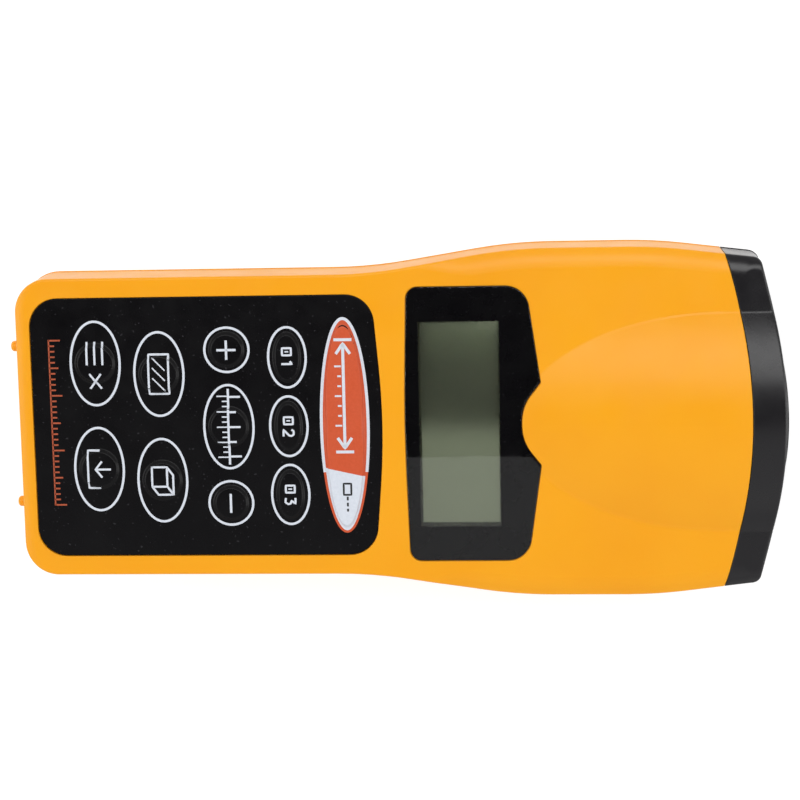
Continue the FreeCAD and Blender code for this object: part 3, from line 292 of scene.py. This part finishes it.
MATERIALS = {
    "housing": moulded("housing_amber", srgb(251, 170, 18), srgb(247, 163, 14), 0.34, grain=0.3, depth=0.006,
                       edge=0.3, Specular_IOR_Level=0.36, Subsurface_Weight=0.06,
                       Subsurface_Radius=(0.004, 0.0015, 0.0004), Subsurface_Scale=0.5),
    "bezel": moulded("bezel_black", srgb(22, 21, 23), srgb(28, 26, 29), 0.24, grain=0.5, depth=0.006,
                     edge=0.35),
    "horn": moulded("horn_black", srgb(26, 26, 28), srgb(33, 33, 35), 0.5, grain=0.3, depth=0.01),
    "film": film_black(),
    "key": moulded("key_black", srgb(28, 27, 29), srgb(33, 32, 34), 0.5),
    "window": window_clear(),
    "display": display_grey(),
    "frame_plastic": moulded("frame_white", srgb(206, 206, 200), srgb(196, 196, 190), 0.5),
    "zebra": zebra_rubber(),
    "can": metal("can_aluminium", srgb(214, 215, 218), srgb(188, 190, 194), 0.32, stretch=(1, 12, 12)),
    "mesh": metal("mesh_aluminium", srgb(186, 187, 190), srgb(158, 160, 164), 0.42),
    "rubber": moulded("rubber_black", srgb(26, 26, 26), srgb(34, 34, 34), 0.72, grain=0.25, depth=0.02),
    "tin": metal("tinned_pins", srgb(214, 214, 216), srgb(190, 191, 194), 0.25, stretch=(1, 10, 10)),
    "board": circuit_board(),
    "chip": moulded("chip_black", srgb(30, 30, 32), srgb(38, 38, 40), 0.55, grain=0.2, depth=0.01),
    "capacitor": moulded("capacitor_sleeve", srgb(22, 34, 72), srgb(28, 42, 86), 0.3, grain=0.8,
                         depth=0.004),
    "ferrite": moulded("ferrite_grey", srgb(58, 58, 62), srgb(70, 70, 74), 0.6, grain=0.4, depth=0.02),
    "steel": metal("screw_steel", srgb(196, 197, 200), srgb(160, 162, 166), 0.3),
    "dome": metal("dome_steel", srgb(206, 207, 210), srgb(180, 182, 186), 0.22),
    "brass": metal("laser_brass", srgb(214, 176, 96), srgb(190, 150, 78), 0.26, stretch=(8, 1, 1)),
    "lens": window_clear(),
    "battery": battery_jacket(),
    "foam": foam(),
    "lead_red": moulded("lead_red", srgb(176, 26, 22), srgb(160, 22, 18), 0.35, grain=1.0, depth=0.004),
    "lead_black": moulded("lead_black", srgb(24, 24, 25), srgb(32, 32, 33), 0.35, grain=1.0, depth=0.004),
}
INK_WHITE = painted("ink_white", srgb(222, 227, 236), srgb(212, 218, 228))
INK_RED = painted("ink_orange_red", srgb(211, 86, 44), srgb(204, 80, 38))
INK_BROWN = painted("ink_brown", srgb(184, 86, 52), srgb(168, 76, 44))
INK_BLACK = painted("ink_black", srgb(20, 20, 22), srgb(28, 28, 30))


def dress_nodes():
    """Gives every CAD node the material of its slot."""
    slots = {entry["node"]: entry["material_slot"] for entry in frame["record"]["subparts"]}
    for name, node in frame["nodes"].items():
        node.data.materials.clear()
        node.data.materials.append(MATERIALS[slots[name]])


# ---------------------------------------------------------------- mesh helpers

def piece(name, vertices, faces, material, smooth=True):
    """A mesh object from millimetre points."""
    mesh = bpy.data.meshes.new(name)
    mesh.from_pydata([Vector(v) * MM for v in vertices], [], faces)
    mesh.validate()
    builder = bmesh.new()
    builder.from_mesh(mesh)
    bmesh.ops.recalc_face_normals(builder, faces=builder.faces)
    builder.to_mesh(mesh)
    builder.free()
    mesh.materials.append(material)
    if smooth:
        mesh.shade_smooth()
        mesh.set_sharp_from_angle(angle=math.radians(40))
    item = bpy.data.objects.new(name, mesh)
    bpy.context.scene.collection.objects.link(item)
    return item


def join(name, items):
    """Several meshes as one piece, with their materials kept."""
    bpy.ops.object.select_all(action="DESELECT")
    for item in items:
        item.select_set(True)
    bpy.context.view_layer.objects.active = items[0]
    if len(items) > 1:
        bpy.ops.object.join()
    items[0].name = name
    items[0].data.name = name
    return items[0]


def offset_outline(points, gap):
    """The closed outline moved inward by gap along its local normals."""
    moved = []
    for before, here, after in zip(points[-1:] + points[:-1], points, points[1:] + points[:1]):
        along = (after - before).normalized()
        moved.append(here + Vector((-along.y, along.x)) * gap)
    return moved


def plate(name, outline, low, top, edge, material):
    """A flat sheet with a rounded top edge."""
    rings = [(outline, low)]
    for index in range(4):
        angle = math.radians(30 * index)
        inward, drop = edge * (1 - math.cos(angle)), edge * (1 - math.sin(angle))
        rings.append((offset_outline(outline, inward), top - drop))
    rings.append((offset_outline(outline, edge * 2), top))
    vertices = [(point.x, point.y, height) for ring, height in rings for point in ring]
    count = len(outline)
    faces = [tuple(reversed(range(count)))]
    for ring in range(len(rings) - 1):
        start = ring * count
        for index in range(count):
            following = (index + 1) % count
            above = start + count
            faces.append((start + index, start + following, above + following, above + index))
    faces.append(tuple(range(len(vertices) - count, len(vertices))))
    return piece(name, vertices, faces, material)


# ---------------------------------------------------------------- keypad relief

ROUND_DOME = (4.45, 4.45)
SIGN_DOME = (3.95, 3.95)
MEMORY_DOME = (3.15, 5.45)
MEASURE_DOME = (4.35, 22.0)
DOME_SHOULDER = 0.85
DOME_DEEP = 0.1
# A dome's mesh has close rings over its shoulder and a few wider ones on its top.
RIM_RINGS = 10
TOP_RINGS = 4
RIM_REACH = 1.15
TOP_SPREAD = 5.2


def dome_size(key):
    """Half sizes of the raised field over a key, across X and along Y."""
    if key == "key_measure":
        return MEASURE_DOME
    if "memory" in key:
        return MEMORY_DOME
    return SIGN_DOME if key in ("key_plus", "key_minus") else ROUND_DOME


def relief(key, x, y):
    """Height of the film at a point over a key: a flat top with a soft shoulder."""
    middle = centre_mm(key)
    half_x, half_y = dome_size(key)
    radial = math.hypot((x - middle.x) / half_x, (y - middle.y) / half_y)
    reach = math.hypot(x - middle.x, y - middle.y)
    inside = reach * (1 / radial - 1) if radial > 0 else half_x
    share = min(max(inside / DOME_SHOULDER, 0), 1)
    smooth = share * share * (3 - 2 * share)
    crown = 1 - 0.12 * min(radial, 1) ** 2
    return FILM_TOP + DOME_RISE * smooth * crown


def key_relief(key):
    return lambda x, y: relief(key, x, y)


def flat(x, y):
    return FILM_TOP


def dome(key):
    """The raised film over one key, from its rim on the sheet to its flat top."""
    middle = centre_mm(key)
    half_x, half_y = dome_size(key)
    around = 96 if key != "key_measure" else 160
    rings = RIM_RINGS + TOP_RINGS
    vertices = []
    for ring in range(rings):
        inward = DOME_SHOULDER * RIM_REACH * ring / (RIM_RINGS - 1) if ring < RIM_RINGS else None
        for index in range(around):
            angle = 2 * math.pi * index / around
            if inward is None:
                scale = (rings - ring) / TOP_SPREAD
                x_half, y_half = (half_x - DOME_SHOULDER) * scale, (half_y - DOME_SHOULDER) * scale
            else:
                x_half, y_half = half_x - inward, half_y - inward
            x = middle.x + x_half * math.cos(angle)
            y = middle.y + y_half * math.sin(angle)
            vertices.append((x, y, relief(key, x, y)))
    under = [(x, y, FILM_TOP - DOME_DEEP) for x, y, _ in vertices[:around]]
    vertices += under
    faces = []
    for ring in range(rings - 1):
        for index in range(around):
            following = (index + 1) % around
            start = ring * around
            above = start + around
            faces.append((start + index, start + following, above + following, above + index))
    base = rings * around
    for index in range(around):
        following = (index + 1) % around
        faces.append((base + index, base + following, following, index))
    faces.append(tuple(range((rings - 1) * around, rings * around)))
    faces.append(tuple(reversed(range(base, base + around))))
    return piece(f"{key}_film", vertices, faces, MATERIALS["film"])


# ---------------------------------------------------------------- printing

INK_PROUD = 0.025
INK_DEEP = 0.08


def slab(name, rows, height_at, material):
    """A thin closed layer of ink over a grid of (x, y) points, following the film's relief."""
    columns = len(rows[0])
    top = [(x, y, height_at(x, y) + INK_PROUD) for row in rows for x, y in row]
    bottom = [(x, y, z - INK_PROUD - INK_DEEP) for x, y, z in top]
    count = len(top)
    faces = []
    for row in range(len(rows) - 1):
        for column in range(columns - 1):
            at = row * columns + column
            quad = (at, at + 1, at + columns + 1, at + columns)
            faces.append(quad)
            faces.append(tuple(reversed([index + count for index in quad])))
    border = [*range(columns)]
    border += [row * columns + columns - 1 for row in range(1, len(rows))]
    border += [(len(rows) - 1) * columns + column for column in range(columns - 2, -1, -1)]
    border += [row * columns for row in range(len(rows) - 2, 0, -1)]
    for here, after in zip(border, border[1:] + border[:1]):
        faces.append((after, here, here + count, after + count))
    return piece(name, top + bottom, faces, material, smooth=False)


def stroke(name, path, width, height_at, material, closed=False):
    """A printed line of a width along (x, y) points."""
    points = [Vector(point) for point in path]
    rows = []
    for index, here in enumerate(points):
        before = points[index - 1] if closed or index else here
        after = points[(index + 1) % len(points)] if closed or index < len(points) - 1 else here
        along = (after - before).normalized()
        across = Vector((-along.y, along.x)) * width / 2
        rows.append([tuple(here + across * share) for share in (1, 0, -1)])
    if not closed:
        return slab(name, rows, height_at, material)
    count = len(rows)
    top = [(x, y, height_at(x, y) + INK_PROUD) for row in rows for x, y in row]
    bottom = [(x, y, z - INK_PROUD - INK_DEEP) for x, y, z in top]
    faces = []
    for row in range(count):
        start, following = row * 3, (row + 1) % count * 3
        low, low_following = start + count * 3, following + count * 3
        for one, two in ((0, 1), (1, 2)):
            faces.append((start + one, start + two, following + two, following + one))
            faces.append((low + two, low + one, low_following + one, low_following + two))
        faces.append((start, following, low_following, low))
        faces.append((following + 2, start + 2, low + 2, low_following + 2))
    return piece(name, top + bottom, faces, material, smooth=False)


def ellipse(middle, half_x, half_y, start=0.0, end=360.0, count=72):
    points = []
    whole = abs(end - start) >= 360
    for index in range(count if whole else count + 1):
        angle = math.radians(start + (end - start) * index / count)
        points.append((middle.x + half_x * math.cos(angle), middle.y + half_y * math.sin(angle)))
    return points


def dense(points, step=0.35):
    """The same path with points at most a step apart, so that it can follow the relief."""
    result = [Vector(points[0])]
    for point in points[1:]:
        start = result[-1].copy()
        end = Vector(point)
        count = max(1, math.ceil((end - start).length / step))
        result += [start.lerp(end, (index + 1) / count) for index in range(count)]
    return result


# ---------------------------------------------------------------- key legends

LINE = 0.44
RING_LINE = 0.5


class Legend:
    """Draws on one key. u runs in reading order, across the meter, and v points to the nose."""

    def __init__(self, key, material, height_at=None):
        self.key = key
        self.middle = centre_mm(key)
        self.material = material
        self.height_at = height_at or key_relief(key)
        self.items = []
        self.stretch = WIDE if ring_size(key) == LARGE_RING else NATURAL

    def line(self, *path, width=LINE, closed=False):
        wide, tall = self.stretch
        points = [(self.middle.x + v * tall, self.middle.y - u * wide) for u, v in path]
        if closed:
            points = dense(points + points[:1])[:-1]
        else:
            points = dense(points)
        name = f"{self.key}_mark_{len(self.items)}"
        self.items.append(stroke(name, points, width, self.height_at, self.material, closed))

    def box(self, u, v, half_u, half_v, width=LINE):
        self.line((u - half_u, v - half_v), (u + half_u, v - half_v), (u + half_u, v + half_v),
                  (u - half_u, v + half_v), width=width, closed=True)


def legend_clear(mark):
    """A list of three entries with a cross beside it."""
    for row in (-1.5, 0.0, 1.5):
        mark.line((-3.2, row), (0.2, row))
    mark.line((1.5, -1.1), (3.7, 1.1))
    mark.line((1.5, 1.1), (3.7, -1.1))


def legend_store(mark):
    """An arrow into a tray."""
    mark.line((0, 2.3), (0, -0.5))
    mark.line((-1.2, 0.6), (0, -0.65), (1.2, 0.6))
    mark.line((-2.8, 0.2), (-2.8, -2.1), (2.8, -2.1), (2.8, 0.2))


def legend_area(mark):
    """A rectangle with a hatched inside."""
    mark.box(0, 0, 2.9, 1.9)
    for shift in (-1.5, 0.0, 1.5):
        mark.line((shift - 0.95, -1.2), (shift + 0.95, 1.2), width=0.28)


def legend_volume(mark):
    """A cube seen from one corner."""
    mark.box(-0.55, -0.5, 1.45, 1.45)
    mark.line((-2.0, 0.95), (-0.8, 2.1), (2.1, 2.1), (2.1, -0.8), (0.9, -1.95))
    mark.line((0.9, 0.95), (2.1, 2.1))


def legend_plus(mark):
    mark.line((-2.05, 0), (2.05, 0), width=0.5)
    mark.line((0, -2.05), (0, 2.05), width=0.5)


def legend_minus(mark):
    mark.line((-2.05, 0), (2.05, 0), width=0.5)


def legend_units(mark):
    """Two rulers with different divisions, back to back."""
    mark.line((-5.6, 0), (5.6, 0), width=0.48)
    for index in range(-2, 3):
        mark.line((index * 2.2, 0.2), (index * 2.2, 2.3 if index % 2 == 0 else 1.5))
    for index in range(-6, 7):
        mark.line((index * 0.75, -0.2), (index * 0.75, -2.2 if index % 3 == 0 else -1.2), width=0.28)


def legend_memory(mark):
    """A small tab and the memory's number."""
    mark.box(-1.25, 0, 0.75, 0.95)
    mark.line((-1.25, -0.4), (-1.25, 0.4), width=0.3)
    number = mark.key[-1]
    if number == "1":
        mark.line((0.75, 0.65), (1.35, 1.1), (1.35, -1.15))
    elif number == "2":
        mark.line((0.65, 0.6), (0.95, 1.05), (1.7, 1.05), (2.0, 0.6), (1.9, 0.1), (0.65, -1.1), (2.1, -1.1))
    else:
        mark.line((0.65, 1.05), (1.9, 1.05), (1.25, 0.2), (1.85, 0.0), (2.0, -0.5), (1.6, -1.1),
                  (0.65, -1.0))


LEGENDS = {
    "key_clear": legend_clear,
    "key_store": legend_store,
    "key_area": legend_area,
    "key_volume": legend_volume,
    "key_plus": legend_plus,
    "key_minus": legend_minus,
    "key_units": legend_units,
    "key_memory_1": legend_memory,
    "key_memory_2": legend_memory,
    "key_memory_3": legend_memory,
}

LARGE_RING = (5.26, 8.91)
# Legends in the large rings are drawn this much wider and taller.
WIDE = (1.45, 1.12)
NATURAL = (1.0, 1.0)
ROUND_RING = (4.7, 4.7)
MEMORY_RING = (3.98, 6.37)
MEASURE_RING = (4.95, 22.7)


def ring_size(key):
    if key == "key_measure":
        return MEASURE_RING
    if "memory" in key:
        return MEMORY_RING
    return ROUND_RING if key in ("key_plus", "key_minus") else LARGE_RING


def press_with(item):
    """Bakes the item's placement into its mesh."""
    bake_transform(item)


def small_key(key):
    """Raised film over a key, the ring round it and its legend."""
    film = dome(key)
    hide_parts(key)
    press_with(film)
    middle = centre_mm(key)
    path = ellipse(middle, *ring_size(key), count=96)
    ring = stroke(f"{key}_ring", path, RING_LINE, key_relief(key), INK_WHITE, closed=True)
    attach(ring, "root")
    mark = Legend(key, INK_WHITE)
    LEGENDS[key](mark)
    press_with(join(f"{key}_legend", mark.items))


# ---------------------------------------------------------------- measure key

DIVIDE_BACK = -8.8
DIVIDE_FRONT = -11.0


def divide_y(x):
    """Where the white laser field begins, which slants across the key."""
    middle = centre_mm("key_measure")
    share = (x - middle.x + MEASURE_RING[0]) / (2 * MEASURE_RING[0])
    return middle.y + DIVIDE_BACK + share * (DIVIDE_FRONT - DIVIDE_BACK)


def measure_field(name, material, laser_side, inset=0.12):
    """One printed field of the long key, bounded by the oval and the slanting divider."""
    middle = centre_mm("key_measure")
    half_x, half_y = MEASURE_RING[0] - inset, MEASURE_RING[1] - inset
    columns = 56
    rows = []
    for column in range(columns + 1):
        x = middle.x - half_x * math.cos(math.pi * (0.03 + 0.94 * column / columns))
        reach = half_y * math.sqrt(max(0.0, 1 - ((x - middle.x) / half_x) ** 2))
        top, bottom = middle.y + reach, middle.y - reach
        split = min(max(divide_y(x), bottom), top)
        low, high = (bottom, split) if laser_side else (split, top)
        rows.append([(x, low + (high - low) * index / 60) for index in range(61)])
    return slab(name, rows, measure_height(1), material)


def measure_outline():
    """White outline round the red field and orange round the white one."""
    middle = centre_mm("key_measure")
    split = math.degrees(math.asin((DIVIDE_BACK + DIVIDE_FRONT) / 2 / MEASURE_RING[1]))
    height_at = measure_height(2)
    red_side = ellipse(middle, *MEASURE_RING, start=split, end=180 - split, count=140)
    laser_side = ellipse(middle, *MEASURE_RING, start=180 - split, end=360 + split, count=70)
    return [
        stroke("measure_outline_white", red_side, 0.62, height_at, INK_WHITE),
        stroke("measure_outline_orange", laser_side, 0.5, height_at, INK_RED),
    ]


def measure_height(layers):
    """Height of a print laid over other prints on the long key, which hides the film under its edges."""
    return lambda x, y: relief("key_measure", x, y) + INK_PROUD * layers


def measure_key():
    """The long two-coloured key: a double arrow on red, a beam on white."""
    film = dome("key_measure")
    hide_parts("key_measure")
    press_with(film)
    fields = [
        measure_field("measure_field", INK_RED, laser_side=False),
        measure_field("laser_field", INK_WHITE, laser_side=True),
        *measure_outline(),
    ]
    over = measure_height(2)
    arrow = Legend("key_measure", INK_WHITE, over)
    arrow.middle = arrow.middle + Vector((0, 6.4, 0))
    arrow.line((-11.0, 0), (11.0, 0), width=0.62)
    for side in (-1, 1):
        arrow.line((side * 11.9, -1.9), (side * 11.9, 1.9), width=0.62)
        arrow.line((side * 8.9, 1.5), (side * 11.1, 0), (side * 8.9, -1.5), width=0.62)
    for index in range(-3, 4):
        arrow.line((index * 2.1, -0.5), (index * 2.1, -1.9 if index % 3 == 0 else -1.3), width=0.38)
    beam = Legend("key_measure", INK_BLACK, over)
    beam.middle = beam.middle + Vector((0.3, -15.6, 0))
    beam.box(-2.1, 0, 1.2, 0.8, width=0.4)
    for start, end in ((-0.5, 0.3), (0.8, 1.6), (2.1, 2.7)):
        beam.line((start, 0), (end, 0), width=0.4)
    press_with(join("key_measure_print", fields + arrow.items + beam.items))


# ---------------------------------------------------------------- film sheet, ruler graphic

def outline_of(node):
    """The outer edge of a flat node's top face, in order, counter-clockwise, in millimetres."""
    mesh = frame["nodes"][node].data
    top = max(vertex.co.z for vertex in mesh.vertices)
    places = {}
    index_of = []
    for vertex in mesh.vertices:
        key = tuple(round(value / MM, 3) for value in vertex.co)
        index_of.append(places.setdefault(key, len(places)))
    points = {index: Vector(key[:2]) for key, index in places.items()}
    uses = {}
    for polygon in mesh.polygons:
        if min(mesh.vertices[index].co.z for index in polygon.vertices) < top - 0.01 * MM:
            continue
        corners = [index_of[index] for index in polygon.vertices]
        for pair in zip(corners, corners[1:] + corners[:1]):
            uses[frozenset(pair)] = uses.get(frozenset(pair), 0) + 1
    links = {}
    for pair, count in uses.items():
        if count == 1:
            one, two = pair
            links.setdefault(one, []).append(two)
            links.setdefault(two, []).append(one)
    start = min(links, key=lambda index: points[index].x)
    loop = [start]
    while True:
        ahead = [index for index in links[loop[-1]] if index not in loop[-2:]]
        if not ahead or ahead[0] == start:
            break
        loop.append(ahead[0])
    line = [points[index] for index in loop]
    area = sum(a.x * b.y - b.x * a.y for a, b in zip(line, line[1:] + line[:1]))
    return line if area > 0 else line[::-1]


FILM_EDGE = 0.14
WINDOW_EDGE = 0.22


def film_sheet():
    outline = outline_of("keypad_overlay")
    sheet = plate("keypad_film", outline, FILM_LOW.z, FILM_TOP, FILM_EDGE, MATERIALS["film"])
    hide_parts("keypad_overlay")
    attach(sheet, "root")


RULER_INSET = 3.9
RULER_ENDS = (-16.6, 18.8)
RULER_COUNT = 30
LONG_MARK, MIDDLE_MARK, SHORT_MARK = 2.5, 1.9, 1.2
MARK_WIDTH = 0.34
RULER_WIDTH = 0.3


def ruler_graphic():
    """A printed ruler along the film's back edge, with long, middle and short divisions."""
    x = FILM_LOW.x + RULER_INSET
    low_y, high_y = RULER_ENDS
    marks = []
    for index in range(RULER_COUNT + 1):
        y = low_y + (high_y - low_y) * index / RULER_COUNT
        length = LONG_MARK if index % 10 == 0 else MIDDLE_MARK if index % 5 == 0 else SHORT_MARK
        path = dense([(x, y), (x + length, y)])
        marks.append(stroke(f"ruler_mark_{index}", path, MARK_WIDTH, flat, INK_BROWN))
    half = MARK_WIDTH / 2
    line = dense([(x, low_y - half), (x, high_y + half)])
    marks.append(stroke("ruler_line", line, RULER_WIDTH, flat, INK_BROWN))
    graphic = join("ruler_graphic", marks)
    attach(graphic, "root")


# ---------------------------------------------------------------- display

def window():
    outline = outline_of("display_window")
    sheet = plate("window_pane", outline, WINDOW_LOW.z, WINDOW_HIGH.z, WINDOW_EDGE, MATERIALS["window"])
    sheet.visible_shadow = False
    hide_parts("display_window")
    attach(sheet, "root")


def block(name, low, high, edge, material):
    """A box with rounded edges, from two corners."""
    builder = bmesh.new()
    bmesh.ops.create_cube(builder, size=1.0)
    for vertex in builder.verts:
        vertex.co = Vector(tuple(
            (a + b) / 2 + share * (b - a) for a, b, share in zip(low, high, vertex.co)
        )) * MM
    bmesh.ops.bevel(builder, geom=list(builder.edges), offset=edge * MM, segments=3, affect="EDGES",
                    profile=0.5)
    mesh = bpy.data.meshes.new(name)
    builder.to_mesh(mesh)
    builder.free()
    mesh.materials.append(material)
    mesh.shade_smooth()
    mesh.set_sharp_from_angle(angle=math.radians(40))
    item = bpy.data.objects.new(name, mesh)
    bpy.context.scene.collection.objects.link(item)
    return item


GLASS_LEDGE = 1.6
POLARISER_THICK = 0.25


def liquid_crystal():
    """The display's glass sandwich: a lower glass with a ledge, an upper glass and the front polariser."""
    low, high = box_mm("display_glass")
    middle = (low.z + high.z) / 2
    glass_top = high.z - POLARISER_THICK
    glass = MATERIALS["display"]
    lower = block("lower_glass", low, (high.x, high.y, middle), 0.1, glass)
    upper_low, upper_high = (low.x, low.y + GLASS_LEDGE, middle), (high.x, high.y - 0.2, glass_top)
    upper = block("upper_glass", upper_low, upper_high, 0.1, glass)
    front_low, front_high = (low.x + 0.7, low.y + 2.2, glass_top), (high.x - 0.7, high.y - 0.8, high.z)
    front = block("polariser", front_low, front_high, 0.06, glass)
    panel = join("liquid_crystal", [lower, upper, front])
    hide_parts("display_glass")
    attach(panel, "root")


# ---------------------------------------------------------------- surroundings

def softbox(name, place, aim, width, height, radiance):
    """A rectangular light of an even brightness, whatever its size."""
    light = bpy.data.lights.new(name, "AREA")
    light.shape = "RECTANGLE"
    light.size, light.size_y = width, height
    light.energy = radiance * math.pi * width * height
    item = bpy.data.objects.new(name, light)
    item.location = place
    item.rotation_euler = (Vector(aim) - Vector(place)).to_track_quat("-Z", "Y").to_euler()
    bpy.context.scene.collection.objects.link(item)
    return item


def studio():
    """White room that is dark straight overhead, with a key light on the +Y side."""
    world = bpy.data.worlds.new("studio")
    bpy.context.scene.world = world
    world.use_nodes = True
    tree = world.node_tree
    background = tree.nodes["Background"]
    direction = tree.nodes.new("ShaderNodeTexCoord").outputs["Generated"]
    split = tree.nodes.new("ShaderNodeSeparateXYZ")
    tree.links.new(direction, split.inputs[0])
    ramp = tree.nodes.new("ShaderNodeValToRGB")
    tree.links.new(split.outputs["Z"], ramp.inputs["Fac"])
    stops = ramp.color_ramp.elements
    stops[0].position, stops[0].color = 0.0, (0.35, 0.35, 0.35, 1)
    stops[1].position, stops[1].color = 0.82, (0.01, 0.01, 0.012, 1)
    stops.new(0.42).color = (0.85, 0.85, 0.85, 1)
    tree.links.new(ramp.outputs["Color"], background.inputs["Color"])
    background.inputs["Strength"].default_value = 1.0
    target = (0.0, 0.0, 0.03)
    softbox("key_light", (0.05, 0.44, 1.1), target, 1.3, 0.42, 3.4)
    softbox("left_light", (-1.0, 0.1, 0.8), target, 0.8, 0.8, 2.2)
    softbox("right_light", (1.1, -0.1, 0.8), target, 0.8, 0.8, 2.0)
    softbox("overhead_card", (0.0, -0.57, 1.05), (0.0, -0.12, 0.0), 1.8, 0.8, 0.55)


FLOOR_HALF = 4000


def floor():
    """White sweep: a large plane with a faint uneven gloss, lit from within to stay free of shadows."""
    surface = Surface("floor_white", Emission_Color=(1, 1, 1, 1), Emission_Strength=0.75)
    tone = surface.between(surface.noise(90.0), 0.0, 1.0)
    surface.colour(surface.mix(tone, (0.38, 0.38, 0.38, 1), (0.4, 0.4, 0.4, 1)))
    surface.rough(surface.noise(40.0), 0.55, 0.65)
    half = FLOOR_HALF
    ground = CAD_BOUNDS[0].z / MM
    corners = [(-half, -half, ground), (half, -half, ground), (half, half, ground), (-half, half, ground)]
    sweep = piece("floor", corners, [(0, 1, 2, 3)], surface.material, smooth=False)


def camera():
    """Looks almost straight down on the keypad, a little from the nose and from the +Y side."""
    lens = bpy.data.cameras.new("camera")
    lens.sensor_width = 36.0
    lens.lens = 90.0
    lens.clip_start = 0.01
    item = bpy.data.objects.new("camera", lens)
    item.location = Vector((35.67, 62.56, 452.98)) * MM
    item.rotation_euler = tuple(math.radians(angle) for angle in (-7.921, 4.479, -1.194))
    bpy.context.scene.collection.objects.link(item)
    bpy.context.scene.camera = item


def main():
    bpy.context.scene.view_settings.view_transform = "Standard"
    dress_nodes()
    film_sheet()
    for key in KEYS:
        if key != "key_measure":
            small_key(key)
    measure_key()
    ruler_graphic()
    window()
    liquid_crystal()
    studio()
    floor()
    camera()


main()
